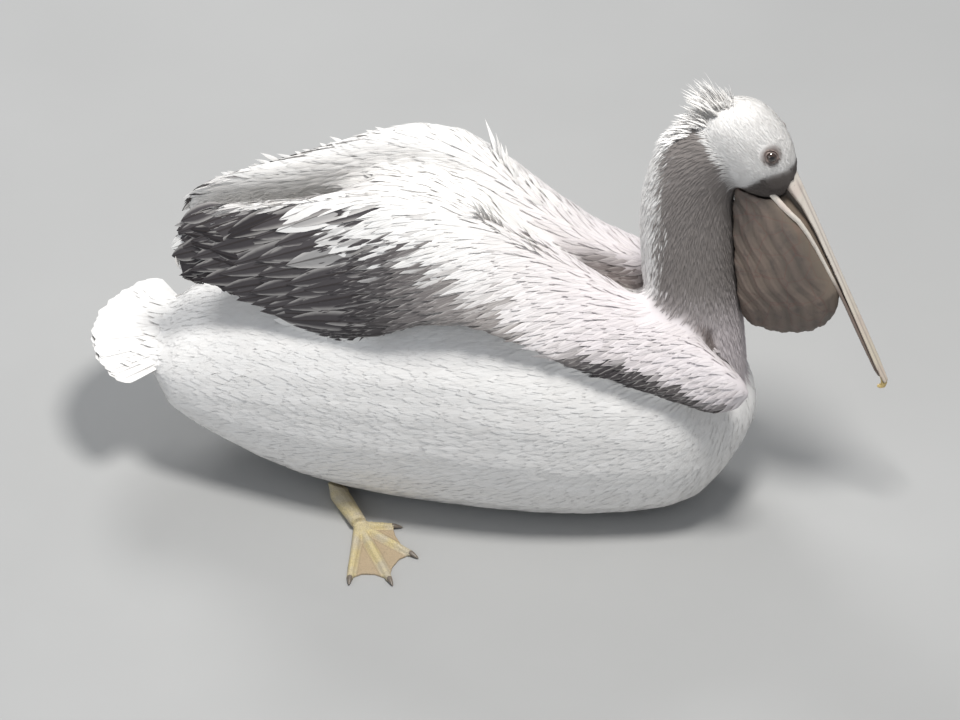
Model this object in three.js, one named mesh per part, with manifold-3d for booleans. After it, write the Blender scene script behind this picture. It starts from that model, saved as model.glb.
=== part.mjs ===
// A life-size pink-backed pelican at rest on its belly, with its bill held down in front of its breast.
// Millimetres, +Z up. The bird faces +X and its left side is +Y. The origin is on the floor,
// at the middle of the flat patch that the belly rests on.
import * as THREE from 'three';
import { mergeVertices } from 'three/addons/utils/BufferGeometryUtils.js';
import Module from 'manifold-3d';

const wasm = await Module();
wasm.setup();

// ---------------------------------------------------------------- driving dimensions

const GAP = 0.4;                  // clearance between neighbouring pieces
const RIGHT = -1;                 // sign of y on each side of the bird
const LEFT = 1;
const FINENESS = {                // rings along each form, and sides around it
  trunk: [19, 25],
  back: [11, 14],
  neck: [11, 17],
  head: [11, 16],
  eye: [8, 12],
  crestLock: [4, 5],
  billUpper: [12, 12],
  nail: [6, 8],
  ramus: [13, 6],
  pouch: [11, 11],
  wing: [20, 16],
  tailCoverts: [4, 16],
  leg: [7, 11],
  toe: [4, 6],
  claw: [3, 5],
};

// Trunk with its coat: x, half width, lowest point, highest point. The belly is cut flat at the floor.
const TRUNK_STATIONS = [
  [-378, 92, 102, 170],
  [-300, 112, 51, 222],
  [-220, 131, 12, 270],
  [-120, 151, -9, 312],
  [0, 161, -14, 334],
  [110, 156, -14, 320],
  [210, 135, -6, 289],
  [290, 113, 18, 250],
  [354, 86, 66, 205],
];
const TRUNK_END_RADII = [44, 84]; // how far from the rump and from the breast the trunk rounds off
const TRUNK_SQUARENESS = 2.35;

// Neck with its coat, from inside the trunk to inside the head: x, z, half depth, half width.
const NECK_STATIONS = [
  [270, 160, 72, 84],
  [276, 230, 62, 70],
  [270, 312, 60, 58],
  [265, 392, 60, 52],
  [268, 458, 57, 48],
  [288, 506, 52, 43],
  [318, 524, 42, 36],
];
const NECK_JOINT_Z = 352;         // height at which the two lengths of neck meet

// Head with its plush, along an axis that runs down and forward from the nape to the bill:
// distance along the axis, half width, lowest point, highest point.
const HEAD_CENTRE = new THREE.Vector3(338, 0, 522);
const HEAD_PITCH = 52;            // degrees below the horizon
const HEAD_STATIONS = [
  [-70, 28, -24, 30],
  [-45, 36, -40, 48],
  [-12, 41.5, -48, 55],
  [22, 40, -46, 49],
  [46, 32, -38, 38],
  [62, 24, -30, 28.5],
  [76, 19, -24, 23],
];
const HEAD_END_RADII = [26, 14];
const HEAD_SQUARENESS = 2.1;

const EYE_RADIUS = 8;
const EYE_PLACE = { x: 369, y: 28.2, z: 535 };

// The culmen is the top line of the bill. The bill's own frame starts where it leaves the head.
const CULMEN_START = new THREE.Vector3(396, 0, 490);
const BILL_PITCH = 69.3;          // degrees below the horizon
const BILL_LENGTH = 314;
const UPPER_BILL_SECTION = { squareness: 2.6, keel: -0.25 }; // flat, and a little narrower on top
const UPPER_BILL_STATIONS = [     // distance along the bill, half width, half height
  [-24, 17, 14],
  [0, 14.5, 10],
  [30, 11.5, 5.8],
  [70, 9.5, 3.5],
  [150, 8.5, 2.6],
  [250, 9.5, 2.5],
  [292, 9, 2.6],
  [BILL_LENGTH, 5.5, 2.4],
];
// The nail: distance along the bill, distance under the culmen, half width, half height.
const NAIL_STATIONS = [
  [302, 3.8, 5, 3.2],
  [313, 4.6, 5, 4],
  [319, 8.8, 4, 3.7],
  [318, 15, 2.3, 2],
];
// Each side of the lower bill: distance along it, from its middle and under the culmen, half width, half height.
const RAMUS_STATIONS = [
  [-14, 17, 36, 3, 4.6],
  [10, 20, 31, 3, 4.6],
  [30, 20.5, 24, 3, 4.4],
  [45, 19.5, 18.6, 2.9, 4],
  [61, 17, 13.8, 2.8, 3.5],
  [90, 14, 11, 2.6, 3],
  [117, 12, 9.6, 2.4, 2.7],
  [163, 9.5, 7.9, 2.2, 2.5],
  [185, 8.5, 7.2, 2.2, 2.4],
  [230, 8, 7, 2.2, 2.3],
  [290, 4.5, 7, 2.3, 2.3],
  [304, 0, 7, 2.3, 2.3],
];
const BILL_FLOOR = { from: 135, to: 298, rings: 5, sides: 6, halfHeight: 1.2 }; // thin skin between the sides
// The pouch: distance along the bill, half width, and where its bag begins and ends below the rami.
const POUCH_STATIONS = [
  [-16, 21, 0, 46],
  [40, 27, 0, 88],
  [90, 31, 0, 113],
  [140, 31, 0, 132],
  [165, 29, 0, 135],
  [185, 25, 9, 132],
  [202, 19, 21, 120],
  [214, 11, 37, 94],
  [219, 5, 54, 72],
];
const POUCH_SECTION = { squareness: 2.2, keel: 0.3 }; // narrower at its keel than at the rami

// Shaggy crest: locks that fan out over the crown and down the nape.
const CREST_CENTRE = new THREE.Vector3(290, 0, 500);
const CREST_LOCKS = 9;
const CREST_ANGLES = [76, 176];   // degrees above the bird's facing, from the first lock to the last
const CREST_REACH = [116, 74];    // distance of the tips from the crest's centre
const CREST_FALL = 0.3;           // under 1: most of the loss comes between the first lock and the second
const CREST_STEP = 4;             // how much shorter every second lock is
const CREST_CURL = 18;            // how far a lock's tip bends backward
const CREST_LOCK_RADIUS = 31;
const CREST_LOCK_SHARES = [0.3, 0.6, 0.82, 1]; // of the reach, from inside the head to the lock's tip
const CREST_LOCK_TIP = 0.055;     // share of the radius left at the tip

// Folded wings, held loosely and raised over the back. Each row gives a slice across the right wing or
// its mirror: x, then |y| and z of the lower edge, |y| and z of the ridge, and half the thickness.
const WING_STATIONS = [
  [-345, 52, 268, 20, 352, 6],
  [-290, 70, 276, 26, 379, 12],
  [-225, 92, 268, 36, 400, 20],
  [-150, 116, 260, 48, 428, 26],
  [-80, 139, 282, 54, 450, 30],
  [0, 146, 322, 44, 434, 32],
  [70, 144, 305, 16, 382, 31],
  [130, 136, 273, 8, 342, 30],
  [200, 129, 248, 20, 309, 28],
  [270, 119, 218, 46, 290, 25],
  [325, 110, 200, 74, 265, 20],
  [361, 95, 208, 84, 239, 13],
];
const WING_END_RADII = [14, 26];
const WING_EAVE = 0.45;           // how much thinner the lower edge is than the middle
const WING_JOINT_X = -110;        // where the flight feathers leave the coverts
const BACK_STATIONS = [           // scapulars between the wings: x, half width, lowest point, highest point
  [-215, 26, 220, 345],
  [-120, 50, 240, 415],
  [0, 60, 250, 424],
  [90, 54, 240, 356],
  [180, 50, 220, 292],
  [262, 40, 190, 262],
];
const BACK_END_RADII = [60, 60];

const TAIL_ROOT_X = -320;
const TAIL_HEIGHT = 150;
const TAIL_THICKNESS = 7;
const TAIL_RADIUS = 126;          // from the root to the tips of the feathers
const TAIL_SPREAD = 98;           // degrees
const TAIL_ROOT_HALF_WIDTH = 56;
const TAIL_FEATHERS = 12;
const TAIL_TIP_DEPTH = 6;         // how far each feather's tip stands out
const TAIL_COVERT_STATIONS = [    // x, half width, half height of the wedge of coverts round the tail's root
  [-418, 56, 4],
  [-400, 74, 9],
  [-372, 80, 17],
  [-330, 72, 30],
];

// Legs, folded under the belly: the ankle, the root of the toes and the way the toes point.
const THIGH_TOP = { x: -96, y: 74, z: 66 };
const ANKLE = { x: -142, y: 74, z: 12 };
const TOE_ROOT = { x: -104, y: 142, z: 9 };
const SHANK_RADII = [19, 13, 9.5]; // thigh, ankle, toe root
const SHANK_FLATNESS = 0.85;      // depth of the shank as a share of its width
const FOOT_HEADING = 64;          // degrees outward from straight ahead
const TOES = [                    // turn from the foot's heading, length: inner hind toe to outer toe
  { turn: -74, reach: 42 },
  { turn: -34, reach: 82 },
  { turn: -4, reach: 108 },
  { turn: 22, reach: 100 },
];
// Along a toe, then along its claw: share of the length, height of the middle, half width, half height.
const TOE_STATIONS = [
  [0, 5, 5.75, 5],
  [0.35, 4.4, 5.1, 4.5],
  [0.7, 3.8, 4.5, 4],
  [1, 3.25, 4, 3.5],
];
const CLAW_STATIONS = [
  [0, 3.4, 2.6, 3],
  [0.5, 2.7, 1.8, 2.1],
  [1, 2, 1, 1.2],
];
const CLAW_REACH = 12;
const WEB_THICKNESS = 2.6;
const WEB_REACH = 0.97;           // of each toe's length
const WEB_HOLLOW = 0.8;           // how far out the web's edge still reaches between two toes

// ---------------------------------------------------------------- materials

const feather = (color) => new THREE.MeshStandardMaterial({ color, roughness: 0.9, metalness: 0 });
const MATERIALS = {
  plumage: feather(0xf2f0ec),
  mantle: feather(0xe6e2de),
  neck: feather(0xb3aca6),
  flight: feather(0x57545a),
  bill: new THREE.MeshStandardMaterial({ color: 0xd9cdb6, roughness: 0.45, metalness: 0 }),
  nail: new THREE.MeshStandardMaterial({ color: 0xd9b25c, roughness: 0.4, metalness: 0 }),
  pouch: new THREE.MeshStandardMaterial({ color: 0x8f7b6c, roughness: 0.6, metalness: 0 }),
  foot: new THREE.MeshStandardMaterial({ color: 0xcfc083, roughness: 0.55, metalness: 0 }),
  eye: new THREE.MeshStandardMaterial({ color: 0x2a1710, roughness: 0.08, metalness: 0 }),
};

// ---------------------------------------------------------------- solids

const Y = new THREE.Vector3(0, 1, 0);
const radians = THREE.MathUtils.degToRad;

// A closed mesh as a solid that can be joined and cut.
function solidOf(geometry) {
  const bare = geometry.index ? geometry.toNonIndexed() : geometry.clone();
  bare.deleteAttribute('normal');
  bare.deleteAttribute('uv');
  const merged = mergeVertices(bare, 1e-4);
  return new wasm.Manifold(new wasm.Mesh({
    numProp: 3,
    vertProperties: merged.attributes.position.array,
    triVerts: new Uint32Array(merged.index.array),
  }));
}

function geometryOf(solid) {
  const mesh = solid.getMesh();
  const geometry = new THREE.BufferGeometry();
  const places = new Float32Array(mesh.numVert * 3);
  for (let i = 0; i < mesh.numVert; i += 1) {
    places.set(mesh.vertProperties.subarray(i * mesh.numProp, i * mesh.numProp + 3), i * 3);
  }
  geometry.setAttribute('position', new THREE.BufferAttribute(places, 3));
  geometry.setIndex(new THREE.BufferAttribute(mesh.triVerts, 1));
  geometry.computeVertexNormals();
  return geometry;
}

const joined = (solids) => solids.reduce((all, next) => all.add(next));
const cutBy = (solid, cutters) => cutters.reduce((left, cutter) => left.subtract(cutter), solid);
const largest = (solid) => solid.decompose().reduce((a, b) => (a.volume() > b.volume() ? a : b));

// The half space on one side of a level or upright plane, as a box big enough for the bird.
function block(low, high) {
  const size = new THREE.Vector3().subVectors(high, low);
  const box = new THREE.BoxGeometry(size.x, size.y, size.z);
  box.translate(low.x + size.x / 2, low.y + size.y / 2, low.z + size.z / 2);
  return solidOf(box);
}
const FAR = 2000;
const underFloor = block(new THREE.Vector3(-FAR, -FAR, -FAR), new THREE.Vector3(FAR, FAR, 0));
const aboveHeight = (z) => block(new THREE.Vector3(-FAR, -FAR, z), new THREE.Vector3(FAR, FAR, FAR));
const belowHeight = (z) => block(new THREE.Vector3(-FAR, -FAR, -FAR), new THREE.Vector3(FAR, FAR, z));
const aheadOf = (x) => block(new THREE.Vector3(x, -FAR, -FAR), new THREE.Vector3(FAR, FAR, FAR));
const behind = (x) => block(new THREE.Vector3(-FAR, -FAR, -FAR), new THREE.Vector3(x, FAR, FAR));

// Smooth values between the rows of a station table, read by their first column.
function smooth(rows) {
  const keys = rows.map((row) => row[0]);
  const values = rows.flatMap((row) => row.slice(1));
  const curve = new THREE.CubicInterpolant(keys, values, rows[0].length - 1);
  return (key) => Array.from(curve.evaluate(key));
}

// Places along a loft, closer together at its ends, where it rounds off.
function spaced(start, end, count) {
  const inset = 0.03;
  return Array.from({ length: count }, (_, i) => {
    const turn = Math.PI * THREE.MathUtils.lerp(inset, 1 - inset, i / (count - 1));
    return (start + end) / 2 - ((end - start) / 2) * Math.cos(turn);
  });
}

// The share of full size at a place near a rounded end, and 1 elsewhere.
function rounding(at, start, end, [startRadius, endRadius]) {
  const beyond = Math.max(0, (start + startRadius - at) / startRadius, (at - end + endRadius) / endRadius);
  const smallest = 0.002;
  return Math.sqrt(Math.max(smallest, 1 - beyond * beyond));
}

// Rings of points joined into a closed skin with a fan at each end. A section's `a` is its half
// size along `across`, `b` the one along `up`, and across x up points from ring to ring.
function sweep(sections, sides, { squareness = 2, taper = 0, keel = 0 } = {}) {
  const bulge = (value) => Math.sign(value) * Math.abs(value) ** (2 / squareness);
  const points = [];
  for (const { centre, across, up, a, b } of sections) {
    for (let i = 0; i < sides; i += 1) {
      const turn = (2 * Math.PI * i) / sides;
      const c = bulge(Math.cos(turn));
      const s = bulge(Math.sin(turn));
      points.push(centre.clone()
        .addScaledVector(across, a * c * (1 + keel * s))
        .addScaledVector(up, b * s * (1 + taper * c)));
    }
  }
  const last = (sections.length - 1) * sides;
  points.push(sections[0].centre.clone(), sections[sections.length - 1].centre.clone());
  const faces = [];
  for (let i = 0; i < sides; i += 1) {
    const next = (i + 1) % sides;
    for (let ring = 0; ring < last; ring += sides) {
      faces.push(ring + i, ring + next, ring + sides + i);
      faces.push(ring + next, ring + sides + next, ring + sides + i);
    }
    faces.push(points.length - 2, next, i);
    faces.push(points.length - 1, last + i, last + next);
  }
  const geometry = new THREE.BufferGeometry().setFromPoints(points);
  geometry.setIndex(faces);
  return geometry;
}

// A loft along +X whose sections are given by their lowest and highest points.
function levelLoft(rows, endRadii, [rings, sides], options, grow) {
  const at = smooth(rows);
  const start = rows[0][0] - grow;
  const end = rows[rows.length - 1][0] + grow;
  const sections = spaced(start, end, rings).map((x) => {
    const [halfWidth, low, high] = at(THREE.MathUtils.clamp(x, rows[0][0], rows[rows.length - 1][0]));
    const share = rounding(x, start, end, endRadii);
    return {
      centre: new THREE.Vector3(x, 0, (low + high) / 2),
      across: Y,
      up: new THREE.Vector3(0, 0, 1),
      a: (halfWidth + grow) * share,
      b: ((high - low) / 2 + grow) * share,
    };
  });
  return sweep(sections, sides, options);
}

// A loft through places in the bird's middle plane, or mirrored off it, turned to follow its path.
function pathLoft(places, sides, options) {
  const curve = new THREE.CatmullRomCurve3(places.map((p) => p.centre));
  const sections = places.map((place, i) => {
    const along = curve.getTangent(i / (places.length - 1));
    const lean = place.lean ?? new THREE.Vector3().crossVectors(along, Y);
    const across = new THREE.Vector3().crossVectors(lean, along).normalize();
    return { ...place, across, up: new THREE.Vector3().crossVectors(along, across).normalize() };
  });
  return sweep(sections, sides, options);
}

// Rows of a station table resampled evenly, so that a path turns smoothly between them.
function resampled(rows, count) {
  const at = smooth(rows.map((row, i) => [i, ...row]));
  return Array.from({ length: count }, (_, i) => at(((rows.length - 1) * i) / (count - 1)));
}

// ---------------------------------------------------------------- trunk, back and neck

function trunkShape(grow) {
  const options = { squareness: TRUNK_SQUARENESS };
  return solidOf(levelLoft(TRUNK_STATIONS, TRUNK_END_RADII, FINENESS.trunk, options, grow));
}

function backShape() {
  return solidOf(levelLoft(BACK_STATIONS, BACK_END_RADII, FINENESS.back, {}, 0));
}

function neckShape(grow) {
  const [rings, sides] = FINENESS.neck;
  const places = resampled(NECK_STATIONS, rings).map(([x, z, halfDepth, halfWidth]) => ({
    centre: new THREE.Vector3(x, 0, z),
    a: halfWidth + grow,
    b: halfDepth + grow,
  }));
  return solidOf(pathLoft(places, sides));
}

// ---------------------------------------------------------------- head, eyes and crest

function headShape(grow) {
  const options = { squareness: HEAD_SQUARENESS };
  const shape = levelLoft(HEAD_STATIONS, HEAD_END_RADII, FINENESS.head, options, grow);
  shape.rotateY(radians(HEAD_PITCH));
  shape.translate(HEAD_CENTRE.x, HEAD_CENTRE.y, HEAD_CENTRE.z);
  return solidOf(shape);
}

function eyeShape(side, grow) {
  const [rings, sides] = FINENESS.eye;
  const ball = new THREE.SphereGeometry(EYE_RADIUS + grow, sides, rings);
  ball.translate(EYE_PLACE.x, side * EYE_PLACE.y, EYE_PLACE.z);
  return solidOf(ball);
}

// One lock: it starts inside the head or neck, narrows to a point and curls backward.
function crestLock(angle, reach) {
  const away = new THREE.Vector3(Math.cos(angle), 0, Math.sin(angle));
  const back = new THREE.Vector3(-Math.sin(angle), 0, Math.cos(angle));
  const [, sides] = FINENESS.crestLock;
  const places = CREST_LOCK_SHARES.map((share) => ({
    centre: CREST_CENTRE.clone()
      .addScaledVector(away, reach * share)
      .addScaledVector(back, CREST_CURL * share ** 2),
    a: CREST_LOCK_RADIUS * (1 + CREST_LOCK_TIP - share),
    b: CREST_LOCK_RADIUS * (1 + CREST_LOCK_TIP - share),
  }));
  return solidOf(pathLoft(places, sides));
}

function crestShape() {
  const locks = Array.from({ length: CREST_LOCKS }, (_, i) => {
    const share = i / (CREST_LOCKS - 1);
    const angle = radians(THREE.MathUtils.lerp(...CREST_ANGLES, share));
    return crestLock(angle, THREE.MathUtils.lerp(...CREST_REACH, share ** CREST_FALL) - (i % 2) * CREST_STEP);
  });
  return joined(locks);
}

// ---------------------------------------------------------------- bill and pouch

const billAlong = new THREE.Vector3(1, 0, 0).applyAxisAngle(Y, radians(BILL_PITCH));
const billUp = new THREE.Vector3(0, 0, 1).applyAxisAngle(Y, radians(BILL_PITCH));

// A place in the bill's own frame: along the culmen, to the left of it, and under it.
function billPlace(along, left, under) {
  return CULMEN_START.clone()
    .addScaledVector(billAlong, along)
    .addScaledVector(Y, left)
    .addScaledVector(billUp, -under);
}

function upperBillShape(grow) {
  const at = smooth(UPPER_BILL_STATIONS);
  const start = UPPER_BILL_STATIONS[0][0];
  const [rings, sides] = FINENESS.billUpper;
  const sections = spaced(start - grow, BILL_LENGTH + grow, rings).map((along) => {
    const [halfWidth, halfHeight] = at(THREE.MathUtils.clamp(along, start, BILL_LENGTH));
    return {
      centre: billPlace(along, 0, halfHeight),
      across: Y,
      up: billUp,
      a: halfWidth + grow,
      b: halfHeight + grow,
    };
  });
  return solidOf(sweep(sections, sides, UPPER_BILL_SECTION));
}

function nailShape() {
  const [rings, sides] = FINENESS.nail;
  const places = resampled(NAIL_STATIONS, rings).map(([along, under, halfWidth, halfHeight]) => ({
    centre: billPlace(along, 0, under),
    a: halfWidth,
    b: halfHeight,
  }));
  return solidOf(pathLoft(places, sides));
}

function ramusShape(side, grow) {
  const [rings, sides] = FINENESS.ramus;
  const places = resampled(RAMUS_STATIONS, rings).map(([along, left, under, halfWidth, halfHeight]) => ({
    centre: billPlace(along, side * left, under),
    lean: billUp,
    a: halfWidth + grow,
    b: halfHeight + grow,
  }));
  return solidOf(pathLoft(places, sides));
}

function billFloorShape(grow) {
  const ramusAt = smooth(RAMUS_STATIONS);
  const { from, to, rings, sides, halfHeight } = BILL_FLOOR;
  const sections = spaced(from - grow, to + grow, rings).map((along) => {
    const [left, under] = ramusAt(along);
    return { centre: billPlace(along, 0, under), across: Y, up: billUp, a: left + grow, b: halfHeight + grow };
  });
  return solidOf(sweep(sections, sides, UPPER_BILL_SECTION));
}

const lowerBillShape = (grow) => joined([ramusShape(RIGHT, grow), ramusShape(LEFT, grow), billFloorShape(grow)]);

function pouchShape(grow) {
  const at = smooth(POUCH_STATIONS);
  const ramusAt = smooth(RAMUS_STATIONS);
  const start = POUCH_STATIONS[0][0];
  const end = POUCH_STATIONS[POUCH_STATIONS.length - 1][0];
  const [rings, sides] = FINENESS.pouch;
  const sections = spaced(start, end, rings).map((along) => {
    const [halfWidth, begins, ends] = at(along);
    const [, under, , ramusHalfHeight] = ramusAt(along);
    const top = under - ramusHalfHeight;
    return {
      centre: billPlace(along, 0, top + (begins + ends) / 2),
      across: Y,
      up: billUp,
      a: halfWidth + grow,
      b: (ends - begins) / 2 + grow,
    };
  });
  return solidOf(sweep(sections, sides, POUCH_SECTION));
}

// ---------------------------------------------------------------- wings and tail

function wingShape(side, grow) {
  const at = smooth(WING_STATIONS);
  const start = WING_STATIONS[0][0] - grow;
  const end = WING_STATIONS[WING_STATIONS.length - 1][0] + grow;
  const [rings, sides] = FINENESS.wing;
  const sections = spaced(start, end, rings).map((x) => {
    const row = at(THREE.MathUtils.clamp(x, start + grow, end - grow));
    const [edgeY, edgeZ, ridgeY, ridgeZ, halfThickness] = row;
    const edge = new THREE.Vector3(x, side * edgeY, edgeZ);
    const ridge = new THREE.Vector3(x, side * ridgeY, ridgeZ);
    const share = rounding(x, start, end, WING_END_RADII);
    const across = new THREE.Vector3().subVectors(ridge, edge).normalize();
    return {
      centre: edge.clone().lerp(ridge, 0.5),
      across,
      up: new THREE.Vector3(1, 0, 0).cross(across),
      a: (edge.distanceTo(ridge) / 2 + grow) * share,
      b: (halfThickness + grow) * share,
    };
  });
  return solidOf(sweep(sections, sides, { taper: WING_EAVE }));
}

// The fan of the tail seen from above: straight sides, and one rounded tip for each feather.
function tailOutline() {
  const pointsToATip = 4;
  const steps = TAIL_FEATHERS * pointsToATip;
  const outline = new THREE.Shape();
  outline.moveTo(0, TAIL_ROOT_HALF_WIDTH);
  for (let i = 0; i <= steps; i += 1) {
    const angle = radians(TAIL_SPREAD) * (0.5 - i / steps);
    const radius = TAIL_RADIUS - TAIL_TIP_DEPTH * (1 - Math.abs(Math.sin((Math.PI * i) / pointsToATip)));
    const rootShare = Math.cos(angle) ** 2 * Math.sin(angle);
    outline.lineTo(-radius * Math.cos(angle), radius * Math.sin(angle) + TAIL_ROOT_HALF_WIDTH * rootShare);
  }
  outline.lineTo(0, -TAIL_ROOT_HALF_WIDTH);
  outline.closePath();
  return outline;
}

// The tail feathers, and the wedge of coverts that carries the rump's form out over their roots.
function tailShape() {
  const fan = new THREE.ExtrudeGeometry(tailOutline(), { depth: TAIL_THICKNESS, bevelEnabled: false });
  fan.translate(TAIL_ROOT_X, 0, TAIL_HEIGHT - TAIL_THICKNESS / 2);
  const coverts = TAIL_COVERT_STATIONS.map(([x, halfWidth, halfHeight]) => ({
    centre: new THREE.Vector3(x, 0, TAIL_HEIGHT),
    across: Y,
    up: new THREE.Vector3(0, 0, 1),
    a: halfWidth,
    b: halfHeight,
  }));
  return joined([solidOf(fan), solidOf(sweep(coverts, FINENESS.tailCoverts[1]))]);
}

// ---------------------------------------------------------------- legs

function legShape(side, grow) {
  const knots = [THIGH_TOP, ANKLE, TOE_ROOT].map((p) => new THREE.Vector3(p.x, side * p.y, p.z));
  const bend = new THREE.CatmullRomCurve3(knots, false, 'centripetal');
  const [rings, sides] = FINENESS.leg;
  const [thigh, ankle, toeRoot] = SHANK_RADII;
  const places = Array.from({ length: rings }, (_, i) => {
    const share = i / (rings - 1);
    const radius = share < 0.5
      ? THREE.MathUtils.lerp(thigh, ankle, share * 2)
      : THREE.MathUtils.lerp(ankle, toeRoot, share * 2 - 1);
    return {
      centre: bend.getPoint(share),
      lean: new THREE.Vector3(0, 0, 1),
      a: radius + grow,
      b: radius * SHANK_FLATNESS + grow,
    };
  });
  return solidOf(pathLoft(places, sides));
}

// Where a toe points, in the bird's frame.
function toeHeading(side, turn) {
  const angle = radians(FOOT_HEADING + turn);
  return new THREE.Vector3(Math.cos(angle), side * Math.sin(angle), 0);
}

// A toe or a claw, from a place on the floor outward along a heading.
function digit(from, heading, reach, rows, sides, grow) {
  const places = rows.map(([share, height, halfWidth, halfHeight]) => ({
    centre: from.clone().addScaledVector(heading, reach * share).setZ(height),
    lean: new THREE.Vector3(0, 0, 1),
    a: halfWidth + grow,
    b: halfHeight + grow,
  }));
  return solidOf(pathLoft(places, sides));
}

// One toe, thickest at its root, with the claw that it ends in.
function toeShape(side, { turn, reach }, grow) {
  const heading = toeHeading(side, turn);
  const root = new THREE.Vector3(TOE_ROOT.x, side * TOE_ROOT.y, 0);
  const tip = root.clone().addScaledVector(heading, reach);
  const toe = digit(root, heading, reach, TOE_STATIONS, FINENESS.toe[1], grow);
  return toe.add(digit(tip, heading, CLAW_REACH, CLAW_STATIONS, FINENESS.claw[1], grow));
}

// The web runs from toe to toe, with a hollow edge between the tips.
function webShape(side, grow) {
  const root = new THREE.Vector2(TOE_ROOT.x, side * TOE_ROOT.y);
  const tips = TOES.map(({ turn, reach }) => {
    const heading = toeHeading(side, turn);
    return root.clone().add(new THREE.Vector2(heading.x, heading.y).multiplyScalar(reach * WEB_REACH + grow));
  });
  const outline = new THREE.Shape();
  outline.moveTo(root.x, root.y);
  outline.lineTo(tips[0].x, tips[0].y);
  for (let i = 1; i < tips.length; i += 1) {
    const middle = tips[i - 1].clone().add(tips[i]).multiplyScalar(0.5);
    const pulled = middle.lerp(root, 1 - WEB_HOLLOW);
    outline.quadraticCurveTo(pulled.x, pulled.y, tips[i].x, tips[i].y);
  }
  outline.closePath();
  const plate = { depth: WEB_THICKNESS + grow, bevelEnabled: false, curveSegments: 3 };
  return solidOf(new THREE.ExtrudeGeometry(outline, plate));
}

function footShape(side, grow) {
  const parts = TOES.map((toe) => toeShape(side, toe, grow));
  return cutBy(joined([...parts, webShape(side, grow)]), [underFloor]);
}

// ---------------------------------------------------------------- the whole bird

const pelican = new THREE.Group();

function addNode(name, solid, material) {
  const mesh = new THREE.Mesh(geometryOf(largest(solid)), MATERIALS[material]);
  mesh.name = name;
  pelican.add(mesh);
}

const trunkRoom = trunkShape(GAP);
const neckRoom = neckShape(GAP);
const headRoom = headShape(GAP);
const upperBillRoom = upperBillShape(GAP);
const lowerBillRoom = lowerBillShape(GAP);
const eyeRooms = [RIGHT, LEFT].map((side) => eyeShape(side, GAP));
const wingRooms = [RIGHT, LEFT].map((side) => wingShape(side, GAP));

addNode('trunk', cutBy(trunkShape(0), [underFloor]), 'plumage');
addNode('back', cutBy(backShape(), [trunkRoom, neckRoom, ...wingRooms]), 'mantle');
const neck = cutBy(neckShape(0), [trunkRoom, headRoom]);
addNode('neck_lower', cutBy(neck, [aboveHeight(NECK_JOINT_Z)]), 'neck');
addNode('neck_upper', cutBy(neck, [belowHeight(NECK_JOINT_Z + GAP)]), 'neck');
addNode('head', cutBy(headShape(0), [...eyeRooms, upperBillRoom, lowerBillRoom]), 'plumage');
addNode('crest', cutBy(crestShape(), [headRoom, neckRoom]), 'plumage');
addNode('bill_upper', upperBillShape(0), 'bill');
addNode('bill_nail', cutBy(nailShape(), [upperBillRoom, lowerBillRoom]), 'nail');
addNode('bill_lower', cutBy(lowerBillShape(0), [upperBillRoom]), 'bill');
const pouch = cutBy(pouchShape(0), [headRoom, neckRoom, trunkRoom]);
addNode('pouch', cutBy(pouch, [upperBillRoom, lowerBillRoom]), 'pouch');
addNode('tail', cutBy(tailShape(), [trunkRoom]), 'plumage');

for (const [sideName, side] of [['right', RIGHT], ['left', LEFT]]) {
  const wing = cutBy(wingShape(side, 0), [trunkRoom, neckRoom]);
  addNode(`wing_arm_${sideName}`, cutBy(wing, [behind(WING_JOINT_X)]), 'mantle');
  addNode(`wing_tip_${sideName}`, cutBy(wing, [aheadOf(WING_JOINT_X - GAP)]), 'flight');
  addNode(`eye_${sideName}`, eyeShape(side, 0), 'eye');
  addNode(`leg_${sideName}`, cutBy(legShape(side, 0), [trunkRoom, underFloor, footShape(side, GAP)]), 'foot');
  addNode(`foot_${sideName}`, footShape(side, 0), 'foot');
}

export default pelican;
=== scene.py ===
# %% [markdown]
# # A life-size pink-backed pelican, resting on its belly
#
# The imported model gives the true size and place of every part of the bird. This lesson dresses it:
# one skin takes the place of the parts of flesh, and thousands of thin feathers are laid over it.
# Everything is in metres. The bird faces +X, its left side is +Y, and the floor is at z = 0.

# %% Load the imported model
import math

import bpy
import numpy as np
from mathutils import Matrix, Vector
from mathutils.bvhtree import BVHTree
from mathutils.kdtree import KDTree


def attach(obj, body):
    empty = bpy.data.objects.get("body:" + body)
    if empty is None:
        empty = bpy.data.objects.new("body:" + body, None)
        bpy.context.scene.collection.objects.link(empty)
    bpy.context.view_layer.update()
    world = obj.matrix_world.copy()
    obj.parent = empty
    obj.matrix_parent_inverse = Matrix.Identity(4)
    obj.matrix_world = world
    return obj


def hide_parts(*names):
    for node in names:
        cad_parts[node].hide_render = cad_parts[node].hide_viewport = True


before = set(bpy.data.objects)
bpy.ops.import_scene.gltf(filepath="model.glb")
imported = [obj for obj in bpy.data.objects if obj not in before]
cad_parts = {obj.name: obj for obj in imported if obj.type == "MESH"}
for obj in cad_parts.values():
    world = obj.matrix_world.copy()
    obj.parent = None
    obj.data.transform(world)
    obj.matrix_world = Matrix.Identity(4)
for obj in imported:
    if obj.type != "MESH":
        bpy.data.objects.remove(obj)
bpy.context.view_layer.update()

DICE = np.random.default_rng(1907)   # every random choice comes from here, so each run is the same
print("parts in the packed model:", len(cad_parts))

# %% [markdown]
# ## Camera
#
# The bird is seen from its right side and from above, the way a visitor on a low deck sees it.
# A very long lens from far off keeps the bill and the tail in true proportion.

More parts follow.
